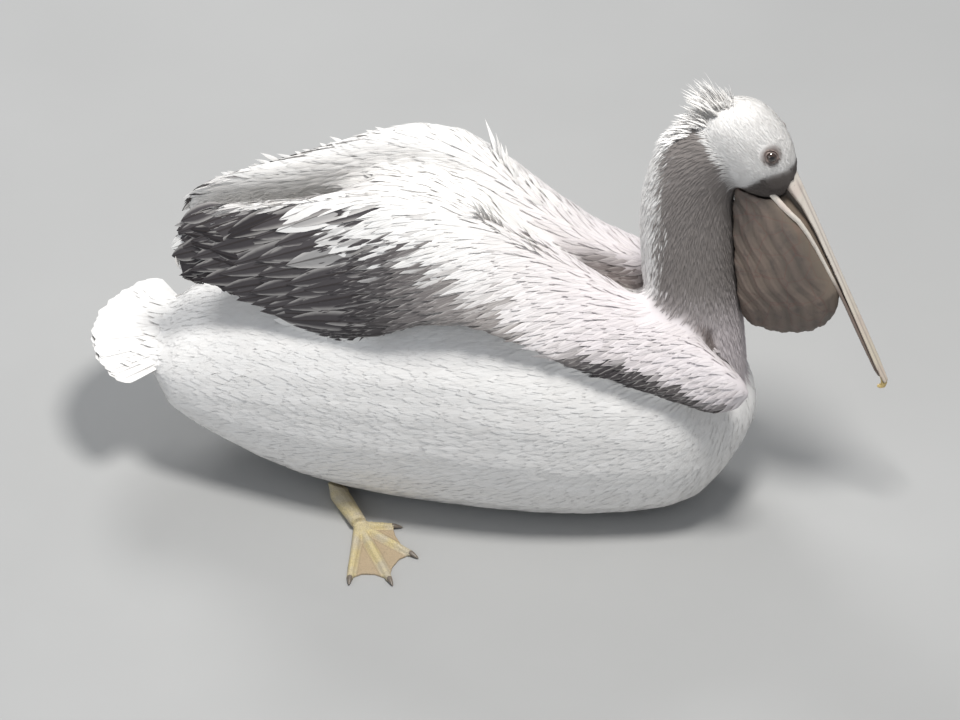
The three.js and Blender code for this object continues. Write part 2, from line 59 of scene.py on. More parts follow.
# %% Place the camera
AZIMUTH = math.radians(10)
ELEVATION = math.radians(38)
CAMERA_DISTANCE = 30.0
VIEW_WIDTH = 8 / 7                  # metres across the view at the bird
AIM_ACROSS, AIM_UP = 0.0167, 0.125  # from the origin to the middle of the view
RIGHT_OF_VIEW = Vector((math.cos(AZIMUTH), math.sin(AZIMUTH), 0))
TOWARDS_CAMERA = Vector((math.sin(AZIMUTH) * math.cos(ELEVATION), -math.cos(AZIMUTH) * math.cos(ELEVATION),
                         math.sin(ELEVATION)))
UP_OF_VIEW = TOWARDS_CAMERA.cross(RIGHT_OF_VIEW)

camera_data = bpy.data.cameras.new("camera")
camera_data.sensor_width = 36
camera_data.lens = camera_data.sensor_width * CAMERA_DISTANCE / VIEW_WIDTH
camera_data.clip_end = 200
camera = bpy.data.objects.new("camera", camera_data)
bpy.context.scene.collection.objects.link(camera)
aim = RIGHT_OF_VIEW * AIM_ACROSS + UP_OF_VIEW * AIM_UP
turn = Matrix((RIGHT_OF_VIEW, UP_OF_VIEW, TOWARDS_CAMERA)).transposed().to_4x4()
camera.matrix_world = Matrix.Translation(aim + TOWARDS_CAMERA * CAMERA_DISTANCE) @ turn
bpy.context.scene.camera = camera
print("the camera looks at", [round(v, 3) for v in aim])

# %% [markdown]
# ## Light
#
# White plumage shows its form only by soft shadow. The key light hangs high on the near side. A
# broad, cooler light fills that side from low behind, and a third, beyond the bird, draws a rim
# along its back.

# %% Hang the lights
def soft_light(name, place, target, size, watts, color=(1, 1, 1)):
    data = bpy.data.lights.new(name, "AREA")
    data.shape = "DISK"
    data.size = size
    data.energy = watts
    data.color = color
    lamp = bpy.data.objects.new(name, data)
    bpy.context.scene.collection.objects.link(lamp)
    lamp.location = place
    lamp.rotation_euler = (Vector(target) - Vector(place)).to_track_quat("-Z", "Y").to_euler()


MIDDLE = (0, 0, 0.25)
soft_light("key_light", (0.45, -0.7, 3.1), MIDDLE, size=0.8, watts=92, color=(1, 0.985, 0.96))
soft_light("fill_light", (-1.6, -2.8, 1.4), MIDDLE, size=2.4, watts=19, color=(0.87, 0.93, 1))
soft_light("rim_light", (-1.2, 2.2, 2.2), MIDDLE, size=1.2, watts=44)
world = bpy.data.worlds.new("studio")
world.use_nodes = True
background = world.node_tree.nodes["Background"]
background.inputs["Color"].default_value = (0.9, 0.94, 1, 1)
background.inputs["Strength"].default_value = 0.38
bpy.context.scene.world = world
bpy.context.scene.view_settings.view_transform = "Standard"

# %% [markdown]
# ## Writing shaders as expressions
#
# A shader is a graph of nodes, and reads badly as code. One small class wraps an output socket, so
# that `1 - mask * 0.5` adds the Math nodes for it. Colours and vectors take other nodes, because a
# Math node would turn them grey. Every other node comes from the one method `add`.

# %% A wire between shader nodes
class Wire:
    """An output socket of a shader. Sums on it add nodes to its tree."""

    def __init__(self, tree, socket=None):
        self.tree = tree
        self.socket = socket

    def add(self, kind, settings=(), inputs=(), output=0):
        node = self.tree.nodes.new(kind)
        for name, value in dict(settings).items():
            setattr(node, name, value)
        self.fill(node, inputs)
        return Wire(self.tree, node.outputs[output])

    def fill(self, node, inputs):
        """Gives each socket of a node its link or its value."""
        for name, value in dict(inputs).items():
            if isinstance(value, Wire):
                self.tree.links.new(value.socket, node.inputs[name])
            else:
                node.inputs[name].default_value = value

    def math(self, operation, *values):
        return self.add("ShaderNodeMath", {"operation": operation}, enumerate(values))

    def __add__(self, other):
        return self.math("ADD", self, other)

    def __sub__(self, other):
        return self.math("SUBTRACT", self, other)

    def __rsub__(self, other):
        return self.math("SUBTRACT", other, self)

    def __mul__(self, other):
        return self.math("MULTIPLY", self, other)

    def __abs__(self):
        return self.math("ABSOLUTE", self)

    __radd__ = __add__
    __rmul__ = __mul__

    def sine(self):
        return self.math("SINE", self)

    def between(self, low, high):
        """0 up to low and 1 from high on, with a smooth step between them."""
        limits = {"Value": self, "From Min": low, "From Max": high}
        return self.add("ShaderNodeMapRange", {"interpolation_type": "SMOOTHSTEP"}, limits)

    def blend(self, first, second, share, way="MIX"):
        """A colour between two others."""
        first, second = ((*color, 1) if isinstance(color, tuple) else color for color in (first, second))
        settings = {"data_type": "RGBA", "blend_type": way}
        return self.add("ShaderNodeMix", settings, {0: share, 6: first, 7: second}, output=2)

    def layers(self, color, coats):
        """A colour with others laid over it in turn, each by its own share."""
        for coat, share, *way in coats:
            color = self.blend(color, coat, share, *way)
        return color

    def split(self):
        """The three numbers of a vector."""
        parts = self.add("ShaderNodeSeparateXYZ", (), {0: self}).socket.node.outputs
        return [Wire(self.tree, part) for part in parts]

    def pattern(self, kind, stretch, settings, sizes):
        """A pattern that fills the bird's own space, stretched along its axes."""
        place = self.add("ShaderNodeTexCoord", output=3)
        mapped = self.add("ShaderNodeMapping", (), {"Vector": place, "Scale": stretch})
        return self.add(kind, settings, {"Vector": mapped, **sizes})

    def noise(self, scale, detail=3.0, stretch=(1, 1, 1)):
        """A cloudy number from 0 to 1."""
        return self.pattern("ShaderNodeTexNoise", stretch, (), {"Scale": scale, "Detail": detail})

    def cells(self, scale):
        """The distance to the border of a cell, as between scales or pores."""
        settings = {"feature": "DISTANCE_TO_EDGE"}
        return self.pattern("ShaderNodeTexVoronoi", (1, 1, 1), settings, {"Scale": scale})

    def attribute(self, name, output=1):
        return self.add("ShaderNodeAttribute", {"attribute_name": name}, output=output)

    def number(self, name):
        return self.attribute(name, output=2)

    def bump(self, height, strength, depth):
        sizes = {"Height": height, "Strength": strength, "Distance": depth}
        return self.add("ShaderNodeBump", (), sizes)


def finish_named(name, look):
    """A material whose surface sockets are filled from what `look` returns."""
    material = bpy.data.materials.new(name)
    material.use_nodes = True
    wire = Wire(material.node_tree)
    wire.fill(material.node_tree.nodes["Principled BSDF"], look(wire))
    return material

# %% [markdown]
# ## Feather finish
#
# Every feather carries its own colour, which comes from where it grows, and three numbers that say
# where on the feather a point is. From these the shader draws the shaft, the barbs that leave it at
# a slant, the paler edge and the softer, greyer down near the root. That greying towards the root is
# also painted shade, where the overlying feathers cover it.

# %% Feather and skin finishes
def feather_look(wire):
    tint = wire.attribute("tint", output=0)
    along, across, luck = wire.attribute("vane").split()
    edge, shaft, down = wire.attribute("trim").split()
    off_shaft = abs(across)
    barbs = (along * 240.0 + off_shaft * 46.0 + luck * 40.0).sine() * 0.5 + 0.5
    splits = (along * 57.0 + off_shaft * 11.0 + luck * 90.0).sine().between(0.86, 1.0)
    clouds = wire.noise(38.0, 4.0)
    near_shaft = 1 - off_shaft.between(0.03, 0.16)
    at_edge = off_shaft.between(0.5, 0.98)
    color = wire.layers(tint, [
        ((0.93, 0.9, 0.86), at_edge * edge),
        ((0.035, 0.028, 0.026), near_shaft * shaft),
        # The feather greys towards its root: its softer down, and painted shade under the feathers over it.
        ((0.8, 0.78, 0.77), (1 - along.between(0.0, 0.42)) * down, "MULTIPLY"),
        ((0.7, 0.68, 0.67), barbs * 0.06 + splits * 0.14, "MULTIPLY"),
        ((0.84, 0.81, 0.78), clouds * 0.2 + luck * 0.18, "MULTIPLY"),
    ])
    height = barbs * 0.4 + near_shaft * 0.8 - splits * 0.5
    return {"Base Color": color, "Roughness": 0.66 + barbs * 0.12 - near_shaft * 0.12,
            "Normal": wire.bump(height, 0.35, 0.0003), "Specular IOR Level": 0.22}


def skin_look(wire):
    tint = wire.attribute("tint", output=0)
    bare = wire.number("bare")
    clouds = wire.noise(60.0, 5.0)
    pores = wire.cells(900.0)
    color = wire.layers(tint, [
        ((0.85, 0.83, 0.82), clouds * 0.6, "MULTIPLY"),
        ((0.45, 0.4, 0.38), (1 - pores.between(0.0, 0.12)) * bare * 0.7, "MULTIPLY"),
    ])
    height = clouds * 0.5 + pores.between(0.0, 0.3) * bare
    return {"Base Color": color, "Roughness": 0.8 - bare * 0.3,
            "Normal": wire.bump(height, 0.5, 0.0006), "Specular IOR Level": 0.3}


FEATHER = finish_named("feather", feather_look)
SKIN = finish_named("plumage_ground", skin_look)
print("finishes:", FEATHER.name, SKIN.name)

# %% [markdown]
# ## The skin
#
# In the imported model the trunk, neck, head, wings and tail are closed solids that meet. A bird has
# one skin. The solids are grown by half a millimetre so that they overlap, joined, and remeshed as
# small cubes whose faces are then smoothed: that leaves one closed surface and no seam.

# %% Tools for working on meshes as arrays
def unit(vectors):
    return vectors / np.maximum(np.linalg.norm(vectors, axis=-1, keepdims=True), 1e-9)


def dot(a, b):
    return (a * b).sum(-1, keepdims=True)


def flat_on(vectors, normals):
    """The part of each vector that lies in the surface."""
    return unit(vectors - normals * dot(vectors, normals))


def hump(value, middle, width):
    """1 at the middle, falling to 0 on both sides of it."""
    return np.exp(-((value - middle) / width) ** 2)


def ramp(value, low, high):
    """0 up to low and 1 from high on, smooth between, as the shader's own step."""
    share = np.clip((value - low) / (high - low), 0, 1)
    return share * share * (3 - 2 * share)


def mixed(first, second, share):
    return np.asarray(first) * (1 - share) + np.asarray(second) * share


def read(items, field, width, kind=float):
    """One field of a mesh's items as an array, with a row for each item."""
    values = np.zeros(len(items) * width, kind)
    items.foreach_get(field, values)
    return values.reshape(-1, width)


def corners_of(mesh):
    return read(mesh.vertices, "co", 3)


def normals_of(mesh):
    return read(mesh.vertices, "normal", 3)


def triangles_of(mesh, field="vertices"):
    mesh.calc_loop_triangles()
    return read(mesh.loop_triangles, field, 3, np.int32)


def neighbours_of(mesh):
    return read(mesh.edges, "vertices", 2, np.int32)


def put_corners(mesh, places):
    mesh.vertices.foreach_set("co", places.astype(np.float32).ravel())
    mesh.update()


def softened(values, edges, rounds):
    """Each corner's value drawn towards its neighbours', the given number of times."""
    count = np.bincount(edges.ravel(), minlength=len(values)).reshape(-1, *[1] * (values.ndim - 1))
    for _ in range(rounds):
        total = np.zeros_like(values)
        np.add.at(total, edges[:, 0], values[edges[:, 1]])
        np.add.at(total, edges[:, 1], values[edges[:, 0]])
        values = values * 0.4 + 0.6 * total / np.maximum(count, 1)
    return values


# %% Tools for making closed meshes
def object_of(mesh, name):
    thing = bpy.data.objects.new(name, mesh)
    bpy.context.scene.collection.objects.link(thing)
    return thing


def joined_solids(nodes, grow):
    """One mesh from the named solids, each grown a little so that they overlap."""
    places, faces, owner, offset = [], [], [], 0
    for number, node in enumerate(nodes):
        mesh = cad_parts[node].data
        solid = merged(corners_of(mesh), triangles_of(mesh))
        places.append(solid[0] + grow * solid[2])
        faces.append(solid[1] + offset)
        owner.append(np.full(len(solid[1]), number))
        offset += len(solid[0])
    return np.concatenate(places), np.concatenate(faces), np.concatenate(owner)


def merged(places, triangles):
    """The solid with its doubled corners made one, and the outward direction at each corner."""
    keys, index = np.unique(np.round(places, 6), axis=0, return_inverse=True)
    triangles = index.reshape(-1)[triangles]
    a, b, c = (keys[triangles[:, i]] for i in range(3))
    areas = np.cross(b - a, c - a)
    normals = np.zeros_like(keys)
    for i in range(3):
        np.add.at(normals, triangles[:, i], areas)
    return keys, triangles, unit(normals)


def mesh_of(name, places, faces):
    mesh = bpy.data.meshes.new(name)
    mesh.from_pydata(places.tolist(), [], faces)
    mesh.update()
    return mesh


def shade_smooth(mesh):
    mesh.polygons.foreach_set("use_smooth", [True] * len(mesh.polygons))


def remeshed(name, places, faces, voxel, rounds):
    """A closed, even, smoothed skin over the given faces."""
    rough = object_of(mesh_of(name + "_rough", places, faces.tolist()), name + "_rough")
    step = rough.modifiers.new("remesh", "REMESH")
    step.mode = "VOXEL"
    step.voxel_size = voxel
    step = rough.modifiers.new("smooth", "SMOOTH")
    step.factor = 0.5
    step.iterations = rounds
    seen = rough.evaluated_get(bpy.context.evaluated_depsgraph_get())
    mesh = bpy.data.meshes.new_from_object(seen)
    mesh.name = name
    bpy.data.objects.remove(rough)
    shade_smooth(mesh)
    return mesh


# %% Join the flesh into one skin
FLESH = ["trunk", "back", "neck_lower", "neck_upper", "head", "tail",
         "wing_arm_right", "wing_tip_right", "wing_arm_left", "wing_tip_left"]
KINDS = np.array([name.split("_")[0] for name in FLESH])     # what part of the bird each of them is
SIDES = ((-1, "right"), (1, "left"))
VOXEL = 0.0052
OVERLAP = 0.0006
places, faces, owner = joined_solids(FLESH, OVERLAP)
skin_mesh = remeshed("skin", places, faces, VOXEL, rounds=5)
solids = BVHTree.FromPolygons(places.tolist(), faces.tolist())


def nearest(tree, points):
    """For each point the nearest place on the surface, and the face that it is on."""
    found = [tree.find_nearest(point) for point in points.tolist()]
    return np.array([f[0] for f in found]), np.array([f[2] for f in found])


corners = corners_of(skin_mesh)
part = owner[nearest(solids, corners)[1]]      # the number in FLESH of the solid that each corner is on
edges = neighbours_of(skin_mesh)
print("skin:", len(corners), "corners, made from", len(FLESH), "solids")

# %% [markdown]
# ## Sinking the skin by the depth of the coat
#
# The solids reach to the tips of the feathers, so the skin lies deeper: about 6 mm under the body
# plumage and only 2 mm on the face. Where a part is thin, as at the wings' lower edge, a ray through
# it measures the thickness, and the skin sinks by no more than a third of that.

# %% Sink the skin
COAT_DEPTH = {"trunk": 0.006, "back": 0.007, "neck": 0.0042, "head": 0.0024, "tail": 0.003, "wing": 0.005}
MOST_OF_THICKNESS = 0.3
CREASE_DEPTH = 0.004
SKIN_OVER_FLOOR = 0.0012
THICKEST = 0.1           # a ray that finds no far side by here counts as this thick
normals = normals_of(skin_mesh)
body = BVHTree.FromPolygons(corners.tolist(), [list(p.vertices) for p in skin_mesh.polygons])


def thickness(tree, points, inward):
    start = points + inward * 1e-4
    hits = [tree.ray_cast(p, d, THICKEST) for p, d in zip(start.tolist(), inward.tolist())]
    return np.array([THICKEST if hit[3] is None else hit[3] for hit in hits])


depth = np.array([COAT_DEPTH[kind] for kind in KINDS])[part]
depth = np.minimum(depth, thickness(body, corners, -normals) * MOST_OF_THICKNESS)
depth = softened(depth, edges, 12)

# Where the front of each folded wing lies against the back, a crease runs beside its ridge. The skin sinks into
# it, and the markings paint shade into it.
CREASE_X = [0.13, 0.2, 0.27, 0.325]
CREASE_Y = [0.008, 0.02, 0.046, 0.074]
CREASE_Z = [0.35, 0.32, 0.30, 0.27]


def crease(points):
    """1 in the crease between the wing and the back, 0 away from it."""
    x, z = points[:, 0], points[:, 2]
    outward = abs(points[:, 1]) - np.interp(x, CREASE_X, CREASE_Y)
    across = ramp(outward, -0.018, -0.012) * (1 - ramp(outward, 0, 0.008))
    between = ramp(np.interp(x, CREASE_X, CREASE_Z) + 0.01 - z, 0, 0.02) * ramp(z, 0.21, 0.25)
    return across * between * ramp(x, 0.11, 0.16) * ramp(0.34 - x, 0, 0.04)


depth = depth + CREASE_DEPTH * crease(corners)
corners = corners - normals * depth[:, None]

# The skin of the tail is drawn in, so that the feathers of the fan make its outline.
TAIL_ROOT = np.array([-0.320, 0, 0.150])
TAIL_DRAWN_IN = 0.86
tail_start = TAIL_ROOT[:2] + [-0.035, 0]
on_tail = (KINDS[part] == "tail") & (corners[:, 0] < tail_start[0])
corners[on_tail, :2] = mixed(tail_start, corners[on_tail, :2], TAIL_DRAWN_IN)
corners[:, 2] = np.maximum(corners[:, 2], SKIN_OVER_FLOOR)
put_corners(skin_mesh, corners)
normals = normals_of(skin_mesh)
print("coat depth from", round(depth.min() * 1000, 1), "to", round(depth.max() * 1000, 1), "mm")

# %% [markdown]
# ## Which way the feathers lie
#
# Plumage lies backward from the bill to the tail. On the neck it runs down towards the breast, on
# the breast it turns down and under, and on the folded wing it runs back and down to the lower
# edge. A direction is written for each part, laid flat on the skin, and then evened out, so that
# the lie turns smoothly from one part to the next.

# %% Lay out the directions
HEAD_MIDDLE = np.array([0.338, 0, 0.522])
HEAD_PITCH = math.radians(52)
HEAD_FORWARD = np.array([math.cos(HEAD_PITCH), 0, -math.sin(HEAD_PITCH)])
HEAD_UP = np.array([math.sin(HEAD_PITCH), 0, math.cos(HEAD_PITCH)])
NECK_LINE = np.array([[0.318, 0, 0.524], [0.288, 0, 0.506], [0.268, 0, 0.458], [0.265, 0, 0.392],
                      [0.270, 0, 0.312], [0.276, 0, 0.230], [0.262, 0, 0.150]])


def down_the_neck(points):
    """The neck's own direction, from the head towards the breast, beside each point."""
    middles = (NECK_LINE[1:] + NECK_LINE[:-1]) / 2
    ways = unit(NECK_LINE[1:] - NECK_LINE[:-1])
    away = np.linalg.norm(points[:, None] - middles[None], axis=-1)
    weight = np.exp(-(away / 0.04) ** 2) + 1e-9
    return unit((weight[..., None] * ways[None]).sum(1))


def lie_of_plumage(points, outward):
    side = np.sign(points[:, 1])
    zero = np.zeros(len(points))
    ahead = np.clip(outward[:, 0], 0, 1)
    outer = ramp(outward[:, 1] * side + outward[:, 2] * 0.4, -0.1, 0.3)
    ways = {
        "trunk": np.stack([-1 + zero, side * 0.1, -0.12 - ahead * 0.8], -1),
        "back": np.stack([-1 + zero, side * 0.15, -0.1 + zero], -1),
        "neck": down_the_neck(points) + np.array([-0.12, 0, 0]),
        "head": -HEAD_FORWARD - HEAD_UP * ramp(-(points - HEAD_MIDDLE) @ HEAD_UP, 0, 0.04)[:, None],
        "tail": np.stack([-1 + zero, points[:, 1] * 2.2, zero], -1),
        "wing": np.stack([-1 + zero, side * 0.2 * outer, -0.1 - 0.3 * outer], -1),
    }
    way = np.zeros_like(points)
    for kind in ways:
        here = KINDS[part] == kind
        way[here] = ways[kind][here]
    return unit(way)


lie = softened(flat_on(lie_of_plumage(corners, normals), normals), edges, 24)
lie = flat_on(lie, normals)
print("the lie of the coat is set at", len(lie), "places")

# %% [markdown]
# ## Markings
#
# One function says what colour the bird is at any place, and both the skin and the feathers ask it,
# so they always agree. The body, tail and head are white, the neck is grey, and the wings are white
# above with a breath of lilac pink towards the bend. Below a slanting line across the folded wing
# lie the dark secondaries and primaries. Painted shade and light are in it too. The neck is darker
# than its own grey, with a painted rim of light at the back. A crease beside each wing and a band
# between the wings are darkened, and parts of the wing's lower edge are painted partly as shade.

# %% The colour at any place
WHITE = np.array([0.85, 0.84, 0.825])
LILAC = np.array([0.70, 0.645, 0.665])
NECK_GREY_AND_SHADE = np.array([0.225, 0.205, 0.195])
COVERT_GREY_AND_SHADE = np.array([0.33, 0.305, 0.295])
FLIGHT_GREY = np.array([0.078, 0.071, 0.075])
FLIGHT_DARK = np.array([0.033, 0.029, 0.032])
CREASE_SHADE_BROWN = np.array([0.135, 0.108, 0.1])
LORE_GREY = np.array([0.115, 0.1, 0.092])
FACE_SKIN = np.array([0.22, 0.18, 0.165])
EYE_PLACE = np.array([0.369, 0.0282, 0.535])
EYE_RADIUS = 0.008

wing_corners = np.concatenate([corners_of(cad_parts[name].data)
                               for name in ("wing_arm_right", "wing_tip_right")])
SLICES = np.linspace(wing_corners[:, 0].min(), wing_corners[:, 0].max(), 24)
in_slice = [wing_corners[abs(wing_corners[:, 0] - x) < 0.022] for x in SLICES]
EAVES = np.array([s[:, 2].min() for s in in_slice])
RIDGES = np.array([s[:, 2].max() for s in in_slice])


def wing_height(points):
    """How far up the folded wing a point is: 0 at its lower edge, 1 at its ridge."""
    low = np.interp(points[:, 0], SLICES, EAVES)
    return (points[:, 2] - low) / (np.interp(points[:, 0], SLICES, RIDGES) - low)


# %% The colour of the folded wing
# Up to what height the wing is dark, and how dark it is there, along x.
DARK_LINE_X = [-0.345, -0.26, -0.21, -0.15, -0.10, -0.06, -0.028, 0.003,
               0.03, 0.08, 0.14, 0.19, 0.25, 0.31, 0.37]
DARK_LINE = [1.15, 1.12, 1.0, 0.79, 0.72, 0.64, 0.50, 0.40,
             0.31, 0.22, 0.26, 0.34, 0.30, 0.18, -0.1]
# Where DARKNESS is low, from x = -0.02 to 0.1, the wing below the line is grey: partly its grey coverts, partly
# painted shade under the wing's edge. From x = 0.13 forward the dark band along the lower edge is partly dark
# coverts, partly painted shade under the wing.
DARKNESS_X = [-0.13, -0.08, -0.02, 0.06, 0.13, 0.17, 0.28]
DARKNESS = [1.0, 0.85, 0.35, 0.0, 0.4, 1.0, 0.8]
# Where the folded wing is darkest: along x, up the wing, and how far each patch spreads both ways.
# The last patch, at the front of the lower edge, is partly painted shade under the wing.
DARK_PATCHES = ((-0.31, 0.1, 0.05, 0.3), (-0.25, 0.78, 0.022, 0.14),
                (-0.10, 0.12, 0.035, 0.3), (0.22, 0.0, 0.09, 0.5))


def wing_color(points, outward, scatter):
    side = np.sign(points[:, 1])
    height = wing_height(points)
    inner = 1 - ramp(outward[:, 1] * side, -0.1, 0.3)
    inner = inner * ramp(outward[:, 2], -0.95, -0.7) * ramp(outward[:, 0], -0.8, -0.4)
    x = points[:, 0]
    line = np.interp(x, DARK_LINE_X, DARK_LINE) * (1 - 0.9 * inner)
    blend = np.interp(x, [-0.1, 0.03, 0.1, 0.15], [0.06, 0.14, 0.1, 0.05])
    ragged = np.interp(x, [-0.28, -0.15, 0.0, 0.12], [0.025, 0.12, 0.12, 0.03])
    below = ramp((line - height + scatter * ragged) / blend, -1, 1) * (1 - ramp(height, 0.9, 0.96))
    above = mixed(WHITE, LILAC, (ramp(x, -0.05, 0.2) * 0.8)[:, None])
    patches = [hump(x, at, wide) * hump(height, up, high) for at, up, wide, high in DARK_PATCHES]
    flight = mixed(FLIGHT_GREY, FLIGHT_DARK, np.clip(np.max(patches, axis=0) + 0.1 * scatter, 0, 1)[:, None])
    dark = mixed(COVERT_GREY_AND_SHADE, flight, np.interp(x, DARKNESS_X, DARKNESS)[:, None])
    streak = ramp(line - height + 0.16 + scatter * 0.2, 0.02, 0.3) * 0.3
    above = mixed(above, COVERT_GREY_AND_SHADE, streak[:, None])
    return mixed(above, dark, below[:, None])


# %% The colour of the head and the neck
LORE_UP = [-0.02, 0.005, 0.02, 0.035, 0.045]         # up the face, in metres from the head's middle
LORE_EDGE = [0.028, 0.0245, 0.0295, 0.041, 0.056]    # how far forward the dark of the lores starts


def on_face(points):
    """How far each point is forward of the head's middle, above it, and away from the eye."""
    from_middle = points - HEAD_MIDDLE
    from_eye = np.stack([points[:, 0], abs(points[:, 1]), points[:, 2]], -1) - EYE_PLACE
    return from_middle @ HEAD_FORWARD, from_middle @ HEAD_UP, np.linalg.norm(from_eye, axis=-1)


def head_color(points):
    forward, upward, from_eye = on_face(points)
    lores = ramp(forward - np.interp(upward, LORE_UP, LORE_EDGE), -0.002, 0.004)
    # The throat takes the neck's grey, which carries painted shade.
    throat = ramp(-upward, 0.02, 0.045) * ramp(-forward, -0.05, 0.0)
    color = mixed(WHITE * 0.98, NECK_GREY_AND_SHADE, (throat * 0.85)[:, None])
    ring = ramp(0.0155 - from_eye, 0, 0.005)
    color = mixed(color, FACE_SKIN, ring[:, None])
    return mixed(color, LORE_GREY, lores[:, None])


def bare_skin(points):
    """1 on the bare skin round the eye and before it, 0 under plumage."""
    forward, upward, from_eye = on_face(points)
    lores = np.hypot(forward - 0.047, (upward - 0.017) * 1.1) - 0.016
    return ramp(-np.minimum(from_eye - 0.0145, lores), -0.001, 0.002) * (abs(points[:, 1]) > 0.009)


def neck_color(points, scatter):
    # The neck's grey is darker than its own colour, as painted shade. The back of the neck is white: partly the
    # pale nape under the crest, partly a painted rim of light along it.
    nape = ramp(NECK_LINE[3, 0] - points[:, 0] + scatter * 0.006, 0.022, 0.042)
    low = ramp(0.345 - points[:, 2] + scatter * 0.007, 0, 0.11)
    return mixed(mixed(NECK_GREY_AND_SHADE, WHITE, (nape * 0.9)[:, None]), LILAC, (low * 0.85)[:, None])


# %% The colour of the whole coat
def plumage_color(points, outward, numbers, scatter):
    """The colour of the plumage. `numbers` says which part each point is on."""
    color = np.tile(WHITE, (len(points), 1))
    kinds = KINDS[numbers]
    # Painted shadow: a grey band across the back, where the two folded wings leave a gap between them.
    shade_between_wings = (kinds == "back") * hump(points[:, 0], -0.17, 0.05) * 0.55
    color = mixed(color, COVERT_GREY_AND_SHADE, shade_between_wings[:, None])
    for kind, paint in (("wing", lambda m: wing_color(points[m], outward[m], scatter[m])),
                        ("head", lambda m: head_color(points[m])),
                        ("neck", lambda m: neck_color(points[m], scatter[m]))):
        mask = kinds == kind
        color[mask] = paint(mask)
    # Painted shade: the crease beside each wing's ridge is darkened to brown.
    return mixed(color, CREASE_SHADE_BROWN, (crease(points) * 0.9)[:, None])


tints = softened(plumage_color(corners, normals, part, np.zeros(len(corners))), edges, 2)
bare = bare_skin(corners) * (KINDS[part] == "head")
print("the markings cover", int((tints.mean(1) < 0.3).sum()), "dark corners of the skin")

# %% Keep the colours in the skin's own mesh
def keep_colors(mesh, name, values):
    layer = mesh.attributes.new(name, "FLOAT_COLOR", "POINT")
    filled = np.concatenate([values, np.ones((len(values), 1))], 1)
    layer.data.foreach_set("color", filled.astype(np.float32).ravel())


def keep_numbers(mesh, name, values):
    kind, field = ("FLOAT", "value") if values.ndim == 1 else ("FLOAT_VECTOR", "vector")
    layer = mesh.attributes.new(name, kind, "POINT")
    layer.data.foreach_set(field, values.astype(np.float32).ravel())


keep_colors(skin_mesh, "tint", tints)
keep_numbers(skin_mesh, "bare", bare)
skin_mesh.materials.append(SKIN)
skin = object_of(skin_mesh, "skin")
bpy.context.view_layer.objects.active = skin
skin.select_set(True)
skin_mesh.uv_layers.new(name="OFBake")
bpy.ops.object.mode_set(mode="EDIT")
bpy.ops.mesh.select_all(action="SELECT")
bpy.ops.uv.smart_project(angle_limit=math.radians(72), island_margin=0.001)
bpy.ops.object.mode_set(mode="OBJECT")
skin.select_set(False)
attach(skin, "root")
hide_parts(*FLESH)
print("skin triangles:", len(triangles_of(skin_mesh)))

# %% [markdown]
# ## Where feathers root
#
# Feathers grow at even distances, like seeds in a sunflower rather than at random. Points are thrown
# on the skin far too densely, and any that falls closer to an earlier one than the wanted distance
# is dropped. What is left looks natural and covers the skin without gaps.

# %% Read the finished skin by its faces
skin_triangles = triangles_of(skin_mesh)
skin_body = BVHTree.FromPolygons(corners.tolist(), skin_triangles.tolist())
skin_uv = read(skin_mesh.uv_layers["OFBake"].data, "uv", 2)[triangles_of(skin_mesh, "loops")]
face_normal = unit(normals[skin_triangles].mean(1))
face_lie = flat_on(lie[skin_triangles].mean(1), face_normal)
face_part = part[skin_triangles[:, 0]]
face_bare = bare[skin_triangles].mean(1)
face_middle = corners[skin_triangles].mean(1)
face_area = np.linalg.norm(np.cross(corners[skin_triangles[:, 1]] - corners[skin_triangles[:, 0]],
                                    corners[skin_triangles[:, 2]] - corners[skin_triangles[:, 0]]), axis=1) / 2


def on_parts(*kinds):
    return np.isin(KINDS[face_part], kinds)


on_wing = on_parts("wing")


# %% Scatter the roots of the feathers
def thinned(points, spacing):
    """The points that are left when none may be nearer to an earlier one than its spacing."""
    tree = KDTree(len(points))
    for number, point in enumerate(points.tolist()):
        tree.insert(point, number)
    tree.balance()
    alive = np.ones(len(points), bool)
    for number, (point, distance) in enumerate(zip(points.tolist(), spacing.tolist())):
        if alive[number]:
            for _, other, _ in tree.find_range(point, distance):
                if other > number:
                    alive[other] = False
    return np.flatnonzero(alive)


def roots_on(faces_chosen, spacing):
    """Evenly scattered roots on the chosen faces: the face of each, and its shares of the corners."""
    chosen = np.flatnonzero(faces_chosen)
    room = np.broadcast_to(spacing, len(face_area))[chosen]
    wanted = face_area[chosen] / room ** 2 * 3.2
    count = int(wanted.sum())
    face = DICE.choice(chosen, count, p=wanted / wanted.sum())
    shares = DICE.dirichlet((1, 1, 1), count)
    points = (corners[skin_triangles[face]] * shares[..., None]).sum(1)
    kept = thinned(points, np.broadcast_to(spacing, len(face_area))[face])
    return {"face": face[kept], "shares": shares[kept], "place": points[kept]}


def roots_at(places, faces):
    """Roots at chosen places, one for each feather."""
    return {"place": places, "face": faces, "shares": np.full((len(places), 3), 1 / 3)}


def first_hits(starts, way):
    """Roots where rays that go one way from the given starts meet the skin."""
    hits = [skin_body.ray_cast(start, way) for start in starts.tolist()]
    return roots_at(np.array([hit[0] for hit in hits]), np.array([hit[2] for hit in hits]))


